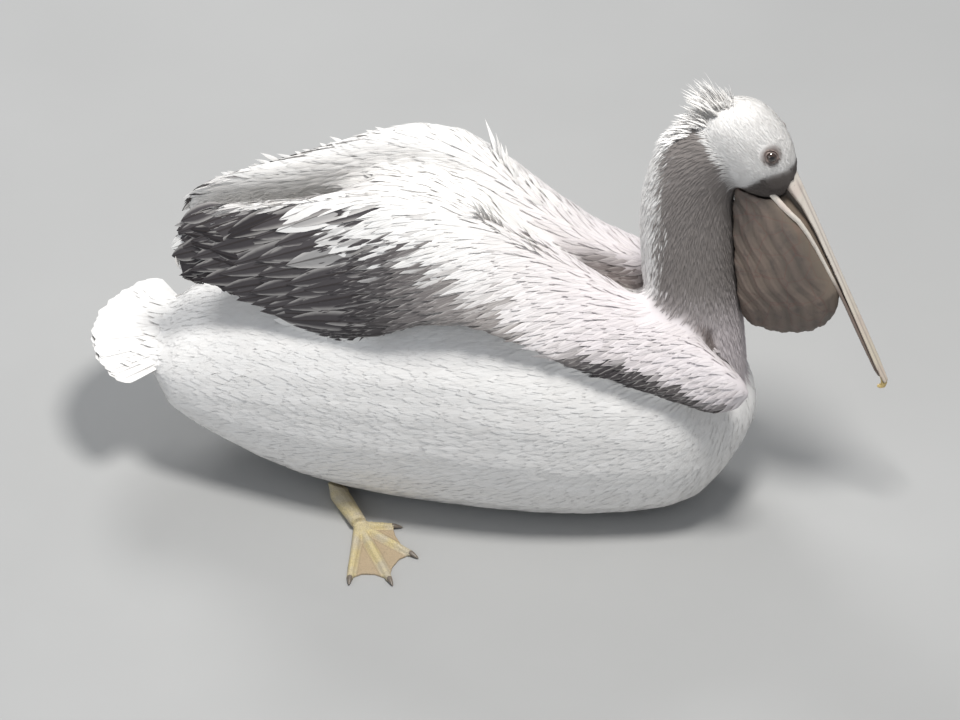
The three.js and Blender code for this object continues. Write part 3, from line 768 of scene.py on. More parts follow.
# %% Follow the skin from a root
def lay_along(roots, length, steps, way, cling, slip):
    """The line that each feather follows: it leaves its root along its way and hugs the skin. It
    turns to the lie of the coat by the share `cling`, and goes straight on where the skin falls
    away by more than `slip` of a step."""
    place, face = roots["place"], roots["face"]
    normal = face_normal[face]
    line, normals_along = [place], [normal]
    stride = (length / steps)[:, None]
    for _ in range(steps):
        ahead = place + way * stride
        landed, face = nearest(skin_body, ahead)
        gap = np.linalg.norm(landed - ahead, axis=1, keepdims=True)
        free = gap > slip * stride
        place = np.where(free, ahead, landed)
        normal = np.where(free, normal, unit(normal * 0.4 + face_normal[face] * 0.6))
        clinging = flat_on(way * (1 - cling) + face_lie[face] * cling, normal)
        way = np.where(free, way, clinging)
        line.append(place)
        normals_along.append(normal)
    return np.stack(line, 1), np.stack(normals_along, 1)


# %% [markdown]
# ## One feather, many times
#
# A feather here is a thin closed blade: a small ring of points repeated along its line and closed
# at both ends. The ring is flat and wide with a ridge in the middle, where the shaft is. The
# feathers of a tract are worked out all at once as one array and joined in one mesh, which is far
# quicker than making thousands of objects.

# %% Build the blades of a tract
PLAIN_RING = np.array([[1, 0], [0, 1], [-1, 0], [0, -0.5]])
SHAFTED_RING = np.array([[1, 0], [0.5, 0.5], [0.09, 0.8], [0, 1.6], [-0.09, 0.8], [-0.5, 0.5], [-1, 0],
                         [-0.5, -0.3], [0, -0.6], [0.5, -0.3]])
PATCH = 0.003          # width of the patch of the unwrap that a feather takes its colours from
FLOOR_CLEARANCE = 0.0004


def blade(line, normal, half_width, thickness, outline, ring, droop=0.15, lean=0.0):
    """Corners of thin closed blades. `outline` gives the width at each station but the tip."""
    along = unit(np.gradient(line, axis=1))
    side = unit(np.cross(normal, along))
    up = np.cross(along, side)
    body_count = line.shape[1] - 1
    width = half_width[:, None] * outline
    thick = thickness * np.linspace(1, 0.45, body_count)
    across = ring[:, 0]
    lift = (thick[:, None] * ring[:, 1])[None] + width[..., None] * (lean * across - droop * across ** 2)
    places = (line[:, :body_count, None] + side[:, :body_count, None] * (width[..., None] * across)[..., None]
              + up[:, :body_count, None] * lift[..., None])
    return np.concatenate([places.reshape(len(line), -1, 3), line[:, -1:]], 1)


def blade_faces(stations, ring):
    """The faces of one blade, as lists of corner numbers."""
    faces = [list(reversed(range(ring)))]
    for level in range(stations - 2):
        start = level * ring
        faces += [[start + i, start + (i + 1) % ring, start + ring + (i + 1) % ring, start + ring + i]
                  for i in range(ring)]
    last, tip = (stations - 2) * ring, (stations - 1) * ring
    return faces + [[last + i, last + (i + 1) % ring, tip] for i in range(ring)]


def feather_mesh(name, places, stations, ring, tint, trim, luck, root_uv):
    """All the blades of a tract in one mesh, with their colours and their patches of the unwrap."""
    count, each = places.shape[:2]
    faces = blade_faces(stations, len(ring))
    loops = np.concatenate(faces)
    sizes = np.array([len(face) for face in faces])
    shift = (np.arange(count) * each)[:, None]
    all_loops = (shift + loops[None]).ravel()
    starts = np.concatenate([[0], np.cumsum(np.tile(sizes, count))[:-1]])
    mesh = bpy.data.meshes.new(name)
    mesh.vertices.add(count * each)
    flat = places.reshape(-1, 3).copy()
    flat[:, 2] = np.maximum(flat[:, 2], FLOOR_CLEARANCE)
    mesh.vertices.foreach_set("co", flat.astype(np.float32).ravel())
    mesh.loops.add(len(all_loops))
    mesh.loops.foreach_set("vertex_index", all_loops.astype(np.int32))
    mesh.polygons.add(len(starts))
    mesh.polygons.foreach_set("loop_start", starts.astype(np.int32))
    mesh.polygons.foreach_set("use_smooth", np.ones(len(starts), bool))
    mesh.update(calc_edges=True)
    along = np.append(np.repeat(np.linspace(0, 1, stations)[:-1], len(ring)), 1.0)
    across = np.append(np.tile(ring[:, 0], stations - 1), 0.0)
    vane = np.stack([np.tile(along, count), np.tile(across, count), np.repeat(luck, each)], -1)
    keep_colors(mesh, "tint", np.repeat(tint, each, axis=0))
    keep_numbers(mesh, "vane", vane)
    keep_numbers(mesh, "trim", np.repeat(trim, each, axis=0))
    patch = np.stack([along - 0.5, across * 0.5], -1) * PATCH
    corner_uv = (root_uv[:, None] + patch[None]).reshape(-1, 2)
    layer = mesh.uv_layers.new(name="OFBake")
    layer.data.foreach_set("uv", corner_uv[all_loops].astype(np.float32).ravel())
    rim = (np.abs(vane[:, 1]) > 0.99) | (vane[:, 0] == 1)
    ends = neighbours_of(mesh)
    sharp = rim[ends].all(1)
    layer = mesh.attributes.new("sharp_edge", "BOOLEAN", "EDGE")
    layer.data.foreach_set("value", sharp)
    mesh.materials.append(FEATHER)
    return mesh


# %% Lay a tract on the skin
ANYWHERE = 1.0         # an overhang of a metre, for feathers that may end anywhere
BREAST_X = 0.3         # ahead of this the wing lies close on the breast, and its feathers may cross over
coat_triangles = 0


def unwrap_of(roots):
    return (skin_uv[roots["face"]] * roots["shares"][..., None]).sum(1)


def tract_of(name, places, stations, ring, tint, trim, luck, root_uv):
    """A tract of feathers as a piece of the bird."""
    global coat_triangles
    mesh = feather_mesh(name, places, stations, ring, tint, trim, luck, root_uv)
    tract = object_of(mesh, name)
    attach(tract, "root")
    triangles = len(places) * ((stations - 2) * len(ring) * 2 + len(ring) - 2 + len(ring))
    coat_triangles += triangles
    print(name, "feathers:", len(places), "triangles:", triangles)
    return tract


SHOWN = 0.7            # how far along a feather the part lies that its neighbours leave in sight


def color_where_seen(line, roots):
    """A feather takes the colour of the place that it shows at, not of the place that it grows from."""
    seen = line[:, round(SHOWN * (line.shape[1] - 1))]
    face = nearest(skin_body, seen)[1]
    return plumage_color(seen, face_normal[face], face_part[roots["face"]], DICE.normal(0, 1, len(seen)))


def add_tract(name, roots, length, half_width, outline, rise, thickness=0.0005, ring=PLAIN_RING,
              trim=(0.0, 0.0, 0.5), tint=None, stray=0.12, sunk=0.0012, cling=0.5, heading=None, slip=0.45,
              droop=0.15, lean=0.035, shingle=0.0, overhang=0.01, chord=0.7, laid=None):
    """Feathers on the given roots. `rise` is how far the tips stand off the skin, `shingle` tilts
    each feather to one side, and `laid` gives their lines ready made. A feather is left out if it
    would run off the skin by more than `overhang`, double back so that its ends are closer than
    `chord` of its length, twist, or cross from a wing to the flank."""
    count = len(roots["place"])
    stations = len(outline) + 1
    length = np.broadcast_to(length, count) * DICE.uniform(0.82, 1.15, count)
    way = face_lie[roots["face"]] if heading is None else heading
    normal = face_normal[roots["face"]]
    swing = DICE.normal(0, stray, count)[:, None]
    way = unit(way + np.cross(normal, way) * swing)
    line, upright = laid or lay_along(roots, length, stations - 1, way, cling, slip)
    run = line[:, -1] - line[:, 0]
    landed, last_face = nearest(skin_body, line[:, -1])
    off_skin = np.linalg.norm(landed - line[:, -1], axis=1)
    straight = np.linalg.norm(run, axis=1) > chord * length
    good = ((unit(run) * way).sum(1) > 0.5) & (off_skin < overhang) & straight
    along = unit(np.gradient(line, axis=1))
    for turning in (along, unit(np.cross(upright, along))):
        good &= (turning[:, 1:] * turning[:, :-1]).sum(-1).min(1) > 0.75
    stays = on_wing[roots["face"]] == on_wing[last_face]
    good &= stays | (line[:, 0, 0] > BREAST_X) | (overhang == ANYWHERE)
    share = np.linspace(0, 1, stations)
    tip_rise = np.broadcast_to(rise, count) * DICE.uniform(0.6, 1.15, count)
    height = -sunk + (tip_rise + sunk)[:, None] * share ** 0.75
    line = line + upright * height[..., None]
    width = np.broadcast_to(half_width, count) * DICE.uniform(0.85, 1.15, count)
    tilt = (shingle + DICE.normal(0, lean, count))[:, None, None]
    places = blade(line, upright, width, thickness, np.array(outline), ring, droop, tilt)
    if tint is None:
        tint = color_where_seen(line, roots)
    tint = np.broadcast_to(tint, (count, 3))[good]
    luck = DICE.uniform(0, 1, count)[good]
    trims = np.broadcast_to(trim, (count, 3))[good]
    tract_of(name, places[good], stations, ring, tint, trims, luck, unwrap_of(roots)[good])


# %% [markdown]
# ## Body plumage
#
# The trunk is covered with soft contour feathers. On a pelican they are narrow and pointed rather
# than round, so the breast and flanks look combed. They are longest on the flanks and belly and
# shorter towards the neck.

# %% Cover the body
POINTED = (0.45, 0.9, 1.0, 0.62)
rear_half = face_middle[:, 0] < -0.05
for name, half in (("body_plumage_front", ~rear_half), ("body_plumage_rear", rear_half)):
    roots = roots_on(on_parts("trunk") & half, 0.0052)
    add_tract(name, roots, length=0.041, half_width=0.0062, outline=POINTED, rise=0.0011,
              thickness=0.0002, droop=0.04)

# %% [markdown]
# ## Neck and head
#
# The neck wears short silky feathers that are almost hair. On the head they shrink to a plush, and
# they stop at the bare skin round the eye and before it.

# %% Cover the neck and the head
SILKY = (0.6, 1.0, 0.6)
roots = roots_on(on_parts("neck"), 0.0025)
add_tract("neck_plumage", roots, length=0.017, half_width=0.00125, outline=SILKY, rise=0.0019,
          thickness=0.00018, stray=0.16)

from_middle = face_middle - HEAD_MIDDLE
to_bill = from_middle @ HEAD_FORWARD
head_spacing = np.where(to_bill > 0.02, 0.0015, 0.0018)
roots = roots_on(on_parts("head") & (face_bare < 0.5), head_spacing)
face_share = ramp(to_bill[roots["face"]], -0.02, 0.05)
add_tract("head_plush", roots, length=0.0115 - 0.0055 * face_share,
          half_width=0.0009 - 0.0003 * face_share, outline=SILKY, rise=0.0018 - 0.0008 * face_share,
          thickness=0.00016, stray=0.2, sunk=0.0006)

# %% [markdown]
# ## Wings and back
#
# Short coverts start at the bend of the wing and grow longer towards the rear. Long lance-shaped
# scapulars lie over the ridge and the back. Behind them come the dark tertials, secondaries and
# primaries, which are single big feathers with a pale edge and a strong shaft.

# %% Lay the coverts
LANCE = (0.4, 0.8, 1.0, 0.85, 0.45)
WING_REAR = -0.352
wing_side = np.sign(face_middle[:, 1])
on_outer_side = (face_normal[:, 1] * wing_side + face_normal[:, 2] * 0.2 > 0.15) & (face_normal[:, 2] > -0.4)
rear_wing = on_parts("wing") & (face_middle[:, 0] < -0.05) & (face_normal[:, 0] > -0.6) & on_outer_side
arm = on_parts("wing") & ((face_middle[:, 0] > -0.14) | ~on_outer_side)
for side, word in SIDES:
    roots = roots_on(arm & (wing_side == side), 0.0056)
    reach = 0.026 + 0.03 * ramp(-roots["place"][:, 0], -0.33, -0.02)
    reach = np.minimum(reach, 0.02 + 0.5 * np.maximum(roots["place"][:, 0] - WING_REAR, 0))
    reach = np.where(face_normal[roots["face"]][:, 2] < -0.3, 0.018, reach)
    add_tract("coverts_" + word, roots, length=reach, half_width=0.0036 + reach * 0.02,
              outline=LANCE, rise=0.003, thickness=0.00026, trim=(0.25, 0.2, 0.4), stray=0.14)

add_tract("mantle_feathers", roots_on(on_parts("back"), 0.008), length=0.055, half_width=0.0055,
          outline=LANCE, rise=0.004, thickness=0.0003, trim=(0.2, 0.1, 0.4), stray=0.14)

# %% Lay the flight feathers
BROAD = (0.42, 0.62, 0.82, 0.95, 1.0, 1.0, 0.96, 0.86, 0.66, 0.4)


def room_to_edge(places, way, most):
    """How long a feather may be before it passes the rear or the lower edge of the wing."""
    to_rear = (places[:, 0] - WING_REAR) / np.maximum(-way[:, 0], 0.05)
    over_eave = places[:, 2] - np.interp(places[:, 0] - 0.04, SLICES, EAVES) + 0.014
    return np.clip(np.minimum(to_rear, over_eave / np.maximum(-way[:, 2], 0.05)), 0.03, most)


for side, word in SIDES:
    roots = roots_on(rear_wing & (wing_side == side), 0.0145)
    places = roots["place"]
    down = 0.06 + 0.32 * ramp(wing_height(places), 0.1, 0.5)
    way = np.stack([-np.ones(len(places)), np.zeros(len(places)), -down], -1)
    way = flat_on(way, face_normal[roots["face"]])
    reach = room_to_edge(places, way, 0.14)
    add_tract("flight_feathers_" + word, roots, length=reach, half_width=0.0065 + reach * 0.05,
              outline=BROAD, rise=0.004, thickness=0.0005, ring=SHAFTED_RING, trim=(0.3, 0.7, 0.2),
              stray=0.04, cling=0.15, slip=0.25, heading=way, droop=0.06, chord=0.88)

# At the wing's rear corner no big feather has room, and short dark coverts close it.
roots = roots_on(rear_wing & (face_middle[:, 0] < -0.28) & (face_middle[:, 0] > -0.345), 0.0085)
reach = np.clip(roots["place"][:, 0] - WING_REAR + 0.004, 0.012, 0.042)
add_tract("wing_tip_coverts", roots, length=reach, half_width=0.0062, outline=LANCE, rise=0.0022,
          thickness=0.00035, ring=SHAFTED_RING, trim=(0.3, 0.6, 0.2), stray=0.08, cling=0.3, droop=0.06)

# %% [markdown]
# ## Quills laid one by one
#
# The longest quills are few, and each has its own place. The primaries, which close the wing's rear,
# are set out in a row between two ends.

# %% Lay the primaries
def on_outer_wing(side, x, height):
    """Roots on the outer side of a wing, at shares of its height."""
    low, high = np.interp(x, SLICES, EAVES), np.interp(x, SLICES, RIDGES)
    starts = np.stack([x, np.full(len(x), side * 0.5), low + height * (high - low)], -1)
    return first_hits(starts, (0, -side, 0))


# Each of these goes evenly from its value at the first quill to its value at the last.
PRIMARIES = 9
PRIMARY_X, PRIMARY_HEIGHT = (-0.14, -0.235), (0.34, 0.7)
PRIMARY_WAYS = (-1, -0.3, 0.02), (-1, -0.33, -0.2)
PRIMARY_LENGTH, PRIMARY_RISE = (0.172, 0.1), (0.0035, 0.005)
share = np.linspace(0, 1, PRIMARIES)
x, height, length, rise = (np.interp(share, [0, 1], ends)
                           for ends in (PRIMARY_X, PRIMARY_HEIGHT, PRIMARY_LENGTH, PRIMARY_RISE))
for side, word in SIDES:
    way = unit(mixed(*PRIMARY_WAYS, share[:, None]) * [1, side, 1])
    add_tract("primaries_" + word, on_outer_wing(side, x, height), length=length, half_width=0.011,
              outline=BROAD, rise=rise, thickness=0.0007, ring=SHAFTED_RING, trim=(0.3, 0.8, 0.1),
              tint=FLIGHT_DARK, stray=0.03, cling=0.0, slip=0.25, heading=way, droop=0.12, sunk=0.005,
              overhang=ANYWHERE, chord=0.96)

# %% [markdown]
# ## Tail
#
# The tail is a fan of broad white feathers with round tips. They are laid one by one, in one row
# above and one below, with soft coverts over their roots. The middle of the fan stands highest, and
# each feather outward slips a little under the one before.

# %% Lay the tail
FAN = np.radians(np.linspace(-50, 50, 19))     # the angle of each feather from the middle
TAIL_REACH = (0.042, 0.130)     # where a feather leaves the skin and where it ends, from the fan's middle
ROW_GAP = 0.003                 # how far each row is from the middle of the tail, at the sides of the fan
outward = np.stack([-np.cos(FAN), np.sin(FAN), np.zeros(len(FAN))], -1)
inward = 1 - abs(FAN) / FAN.max()
share = 1 - np.linspace(1, 0, 14) ** 1.6        # closer together towards the round tip
tail_vane = (0.5 + 0.5 * ramp(share, 0, 0.4)) * np.sqrt(1 - ramp(share, 0.86, 1) ** 2)
for name, start_height, up, on_top in (("tail_feathers_above", 0.4, 1, 0.003 * inward),
                                       ("tail_feathers_below", 0.02, -1, 0.001 * inward)):
    start = TAIL_ROOT + outward * TAIL_REACH[0]
    start[:, 2] = start_height
    roots = first_hits(start, (0, 0, -up))
    ends = TAIL_ROOT + outward * (TAIL_REACH[1] + DICE.uniform(-0.004, 0.001, len(FAN)))[:, None]
    begins = roots["place"].copy()
    begins[:, 2] = mixed(begins[:, 2], TAIL_ROOT[2] + up * ROW_GAP, (abs(FAN) / FAN.max()) ** 2)
    line = mixed(begins[:, None], ends[:, None], share[:, None])
    upright = np.broadcast_to(np.array([0, 0, up]), line.shape)
    add_tract(name, roots, length=0.09, half_width=0.0165, outline=tail_vane[:-1],
              rise=0.0003 + on_top, thickness=0.00035, ring=SHAFTED_RING, trim=(0, 0.1, 0.3), heading=outward,
              droop=0.03, lean=0.0, shingle=-0.025 * np.sign(FAN), overhang=ANYWHERE, laid=(line, upright))
roots = roots_on(on_parts("tail") & (face_middle[:, 0] > -0.385), 0.0062)
add_tract("tail_coverts", roots, length=0.026, half_width=0.0058, outline=LANCE, rise=0.005,
          thickness=0.0003, trim=(0, 0, 0.4), droop=0.05)
print("coat triangles in all:", coat_triangles)

# %% [markdown]
# ## Crest
#
# The crest is a loose bunch of narrow plumes that stand off the crown and the nape. These feathers
# don't hug the skin, so each one follows a curve of its own that leaves the head and bends back.

# %% Raise the crest
def stand_off(name, slot, roots, heading, bend, length, half_width, outline, thickness, trim=(0, 0, 0.3),
              tint=None, stray=0.2):
    """Feathers that leave the skin along `heading` and curve towards `bend`."""
    count = len(roots["place"])
    stations = len(outline) + 1
    way = unit(heading + DICE.normal(0, stray, (count, 3)))
    reach = np.broadcast_to(length, count) * DICE.uniform(0.45, 1.1, count)
    share = np.linspace(0, 1, stations)
    line = (roots["place"][:, None] + way[:, None] * (reach[:, None] * share)[..., None]
            + bend[:, None] * (reach[:, None] * share ** 2)[..., None])
    line = line - face_normal[roots["face"]][:, None] * 0.001
    upright = np.repeat(unit(np.cross(np.cross(way, bend), way) * -1 + 1e-6)[:, None], stations, axis=1)
    width = np.broadcast_to(half_width, count) * DICE.uniform(0.8, 1.2, count)
    places = blade(line, upright, width, thickness, np.array(outline), PLAIN_RING)
    scatter = DICE.normal(0, 1, count)
    if tint is None:
        tint = plumage_color(roots["place"], face_normal[roots["face"]], face_part[roots["face"]], scatter)
    return tract_of(name, places, stations, PLAIN_RING, np.broadcast_to(tint, (count, 3)),
                    np.broadcast_to(trim, (count, 3)), DICE.uniform(0, 1, count), unwrap_of(roots))


CREST_MIDDLE = np.array([0.290, 0, 0.500])
CREST_PLUME = (0.4, 0.75, 1.0, 0.95, 0.7, 0.4)
# How high the plumes stand off the skin, by the angle round the crest's middle, from its front.
CREST_ANGLES = [72, 85, 93, 101, 117, 135, 163, 180, 200, 225]
CREST_STANDING = [0.016, 0.033, 0.022, 0.017, 0.015, 0.015, 0.014, 0.014, 0.012, 0.008]
from_crest = face_middle - CREST_MIDDLE
crest_angle = np.degrees(np.arctan2(from_crest[:, 2], from_crest[:, 0])) % 360
for name, first, last, breadth, node in (("crest_plumes", 72, 176, 0.017, "crest"),
                                         ("nape_plumes", 176, 225, 0.02, None)):
    ragged = breadth * (0.82 + 0.18 * np.sin(face_middle[:, 2] * 420))
    strip = (abs(face_middle[:, 1]) < ragged) & (crest_angle > first) & (crest_angle < last)
    roots = roots_on(strip & on_parts("head", "neck"), 0.0019)
    away = unit(roots["place"] - CREST_MIDDLE)
    backward = np.stack([-away[:, 2], np.zeros(len(away)), away[:, 0]], -1)
    off_middle = 1 - 0.45 * (abs(roots["place"][:, 1]) / breadth) ** 2
    angle = crest_angle[roots["face"]]
    reach = np.interp(angle, CREST_ANGLES, CREST_STANDING) * 1.3 * off_middle      # longer, since they slant
    rearward = np.interp(angle, [72, 90, 115], [0.2, 0.45, 1.0])[:, None]
    plumes = stand_off(name, "plumage", roots, heading=away * 0.75 + backward * rearward,
                       bend=backward * 0.4 - away * 0.1, length=reach, half_width=0.0016,
                       outline=CREST_PLUME, thickness=0.00018, tint=WHITE, stray=0.17)
    if node:
        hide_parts(node)

# %% [markdown]
# ## Ruffled feathers
#
# A breeze lifts some feathers along the ridge of each folded wing. Most rise only a little off the
# outline, and a tuft of longer ones stands up over the shoulder. They are made as the crest is, and
# bend to the side, so that their flat faces show from there.

# %% Ruffle the ridges of the wings
RUFFLE_X = [-0.30, -0.25, -0.18, -0.1, -0.02, 0.025, 0.06, 0.10, 0.15]
RUFFLE_REACH = [0.010, 0.020, 0.022, 0.014, 0.012, 0.020, 0.034, 0.034, 0.010]
RUFFLE_LIFT = [0.1, 0.2, 0.32, 0.25, 0.4, 1.2, 2.5, 1.8, 0.3]
RIDGE_HALF_WIDTH = 0.013
RUFFLED = {"half_width": 0.0024, "outline": LANCE, "thickness": 0.00022, "trim": (0.1, 0.1, 0.4), "tint": WHITE}
ridge_y = np.interp(face_middle[:, 0], [-0.3, 0, 0.12], [0.03, 0.063, 0.037])
ridge = on_wing & (abs(abs(face_middle[:, 1]) - ridge_y) < RIDGE_HALF_WIDTH) & (face_normal[:, 2] > 0.4)
roots = roots_on(ridge & (face_middle[:, 0] > -0.3) & (face_middle[:, 0] < 0.14), 0.008)
x = roots["place"][:, 0]
clumps = 0.4 + 0.6 * abs(np.sin(x * 48))
heading = np.stack([-np.ones(len(x)), np.zeros(len(x)), np.interp(x, RUFFLE_X, RUFFLE_LIFT)], -1)
bend = np.stack([-0.25 + 0 * x, np.sign(roots["place"][:, 1]) * 0.25, -0.08 + 0 * x], -1)
reach = np.interp(x, RUFFLE_X, RUFFLE_REACH) * clumps
stand_off("ruffled_scapulars", "mantle", roots, unit(heading), bend, reach, stray=0.16, **RUFFLED)

# %% Raise a tuft on each shoulder
TUFT = 12                          # feathers in a tuft, in a line
TUFT_X, TUFT_RUN = 0.030, 0.045    # where its rear end is, and how far ahead its front end is
TUFT_Y, TUFT_SLANT = 0.060, 0.012  # how far out its rear end is, and how much less its front end is
ABOVE_SHOULDER = 0.43
share = np.linspace(0, 1, TUFT)
tuft_reach = np.interp(share, [0, 0.25, 0.5, 1], [0.03, 0.06, 0.04, 0.03])
for side, word in SIDES:
    above = np.stack([TUFT_X + TUFT_RUN * share, side * (TUFT_Y - TUFT_SLANT * share),
                      np.full(TUFT, ABOVE_SHOULDER)], -1)
    roots = roots_at(*nearest(skin_body, above))
    heading = np.broadcast_to([-0.25, 0, 1.0], above.shape)
    bend = np.broadcast_to([-0.2, side * 0.3, 0], above.shape)
    stand_off("shoulder_tuft_" + word, "mantle", roots, heading, bend, tuft_reach, stray=0.18, **RUFFLED)

# %% [markdown]
# ## Refining a hard part
#
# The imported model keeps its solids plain. For the bill, the pouch and the feet the same solid is
# remeshed finely and smoothed, and then its surface is moved by a millimetre or less to carve the
# grooves, folds and joints of the real thing. The part keeps its size and its place.

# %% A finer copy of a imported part
PART_OVER_FLOOR = 0.0001


def refined(name, nodes, voxel, rounds, finish, carve=None, grow=0.0):
    solid_places, solid_faces, _ = joined_solids(nodes, grow)
    mesh = remeshed(name, solid_places, solid_faces, voxel, rounds)
    at, out = corners_of(mesh), normals_of(mesh)
    if carve:
        at = at + out * carve(mesh, at, out)[:, None]
    at[:, 2] = np.maximum(at[:, 2], PART_OVER_FLOOR)
    put_corners(mesh, at)
    mesh.materials.append(finish)
    piece = object_of(mesh, name)
    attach(piece, "root")
    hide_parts(*nodes)
    print(name, "triangles:", len(triangles_of(mesh)))


# %% [markdown]
# ## Bill
#
# The upper bill is a long flat strap of horn with a raised culmen down its middle and a groove on
# each side of it. The lower bill is only two thin rods, joined at the tip, with the pouch hung
# between them. A small hooked nail ends the upper bill.

# %% Measure along the bill
CULMEN_START = np.array([0.396, 0, 0.490])
BILL_PITCH = math.radians(69.3)
BILL_LENGTH = 0.314
BILL_FORWARD = np.array([math.cos(BILL_PITCH), 0, -math.sin(BILL_PITCH)])
BILL_UP = np.array([math.sin(BILL_PITCH), 0, math.cos(BILL_PITCH)])


def on_bill(points):
    """Distance along the bill, distance from its middle, and height over the culmen."""
    away = points - CULMEN_START
    return away @ BILL_FORWARD, abs(points[:, 1]), away @ BILL_UP


def carve_upper_bill(mesh, at, out):
    along, left, _ = on_bill(at)
    half_width = np.interp(along, [-0.024, 0, 0.03, 0.07, 0.15, 0.25, 0.292, 0.314],
                           [0.017, 0.0145, 0.0115, 0.0095, 0.0085, 0.0095, 0.009, 0.0055])
    on_top = ramp(out @ BILL_UP, 0.2, 0.8)
    culmen = hump(left, 0, half_width * 0.2) * 0.0009
    groove = hump(left, half_width * 0.42, half_width * 0.1) * -0.0009
    rim = hump(left, half_width * 0.86, half_width * 0.16) * 0.0003
    fade = ramp(along, -0.005, 0.02)
    keep_numbers(mesh, "groove", hump(left, half_width * 0.42, half_width * 0.13) * on_top * fade)
    keep_numbers(mesh, "reach", along / BILL_LENGTH)
    # Painted shade: the sides and underside of the upper bill darken, as if turned away from the light.
    keep_numbers(mesh, "shade", ramp(-(out @ BILL_UP), -0.35, 0.1) * 0.8)
    return (culmen + groove + rim) * on_top * fade


def carve_lower_bill(mesh, at, out):
    along = on_bill(at)[0]
    keep_numbers(mesh, "groove", np.zeros(len(at)))
    keep_numbers(mesh, "reach", along / BILL_LENGTH)
    # Painted shade: the lower bill darkens past the middle of its length, where it lies under the upper bill.
    keep_numbers(mesh, "shade", ramp(along, 0.135, 0.175))
    return hump(out @ BILL_UP, 0, 0.25) * -0.0003


def horn_look(wire):
    groove = wire.number("groove")
    reach = wire.number("reach")
    clouds = wire.noise(30.0, 5.0)
    streaks = wire.noise(160.0, 4.0, (1, 1, 0.08))
    flecks = wire.noise(420.0, 2.0)
    shade = wire.number("shade")
    color = wire.layers((0.76, 0.70, 0.62), [
        ((0.74, 0.66, 0.52), reach.between(0.35, 0.95)),
        ((0.70, 0.55, 0.49), clouds.between(0.45, 0.7) * 0.45),
        ((0.36, 0.30, 0.27), groove * 0.65),
        ((0.45, 0.38, 0.33), streaks.between(0.52, 0.75) * 0.35),
        ((0.30, 0.25, 0.22), flecks.between(0.66, 0.74) * 0.4),
        # Painted shade, by the number 'shade' that each part of the bill keeps.
        ((0.17, 0.12, 0.10), shade * 0.9),
    ])
    return {"Base Color": color, "Roughness": 0.36 + clouds * 0.2, "Specular IOR Level": 0.45,
            "Normal": wire.bump(streaks + flecks * 0.3, 0.25, 0.0004), "Coat Weight": 0.12}


def nail_look(wire):
    clouds = wire.noise(120.0, 4.0)
    rings = wire.noise(500.0, 3.0, (1, 1, 0.3))
    color = wire.blend((0.62, 0.42, 0.12), (0.72, 0.58, 0.28), clouds)
    return {"Base Color": color, "Roughness": 0.3 + rings * 0.2, "Normal": wire.bump(rings, 0.3, 0.0003),
            "Coat Weight": 0.2}


# %% Make the bill
HORN = finish_named("horn", horn_look)
NAIL = finish_named("nail_horn", nail_look)
refined("upper_bill", ["bill_upper"], voxel=0.0011, rounds=6, finish=HORN, carve=carve_upper_bill)
refined("lower_bill", ["bill_lower"], voxel=0.0010, rounds=5, finish=HORN, carve=carve_lower_bill)
refined("nail", ["bill_nail"], voxel=0.0006, rounds=4, finish=NAIL)

# %% [markdown]
# ## Pouch
#
# The pouch is a thin bag of bare skin. Slack, it hangs in long shallow folds that run with the bill
# and gather towards the throat, and fine veins show through it.

# %% Make the pouch
def carve_pouch(mesh, at, out):
    along, left, up = on_bill(at)
    top = -np.interp(along, [-0.014, 0.01, 0.03, 0.061, 0.117, 0.17, 0.29],
                     [0.031, 0.026, 0.0196, 0.0103, 0.0069, 0.0054, 0.005])
    hang = (top - up) / 0.12
    sway = 0.004 * np.sin(along * 38 + 1.3) + 0.0025 * np.sin(along * 83)
    folds = np.sin((hang * 0.12 + sway + left * 0.25) * 2 * math.pi / 0.017)
    fine = np.sin((hang * 0.12 + sway * 1.6) * 2 * math.pi / 0.0062 + np.sin(along * 60) * 1.5)
    fade = ramp(hang, 0.02, 0.2) * ramp(left, 0.001, 0.006)
    keep_numbers(mesh, "fold", (folds * 0.5 + 0.5) * fade)
    keep_numbers(mesh, "hang", hang)
    return (folds * 0.0007 + fine * 0.0003) * fade


def pouch_look(wire):
    fold = wire.number("fold")
    hang = wire.number("hang")
    clouds = wire.noise(16.0, 5.0)
    mottle = wire.noise(90.0, 5.0)
    veins = 1 - wire.cells(34.0).between(0.0, 0.035)
    wrinkles = wire.noise(150.0, 5.0, (1, 1, 0.22))
    pores = wire.cells(620.0)
    color = wire.layers((0.112, 0.093, 0.078), [
        ((0.168, 0.132, 0.106), clouds.between(0.3, 0.7)),
        ((0.22, 0.165, 0.14), fold * 0.4),
        ((0.085, 0.075, 0.07), mottle.between(0.5, 0.72) * 0.5),
        ((0.16, 0.06, 0.05), veins * 0.3),
        ((0.25, 0.2, 0.15), (1 - hang.between(0.0, 0.18)) * 0.6),
    ])
    height = wrinkles * 1.2 + pores * 0.25 - veins * 0.15
    return {"Base Color": color, "Roughness": 0.46 + mottle * 0.2, "Normal": wire.bump(height, 0.55, 0.0009),
            "Specular IOR Level": 0.4}


POUCH = finish_named("pouch_skin", pouch_look)
refined("pouch_skin", ["pouch"], voxel=0.0019, rounds=8, finish=POUCH, carve=carve_pouch,
        grow=0.0008)

# %% [markdown]
# ## Eyes
#
# A bird's eye fills its socket: only the dark iris and pupil show, under a clear domed cornea. The
# ball here has that dome in its own shape, and a lid of bare skin folds round it, thicker above.

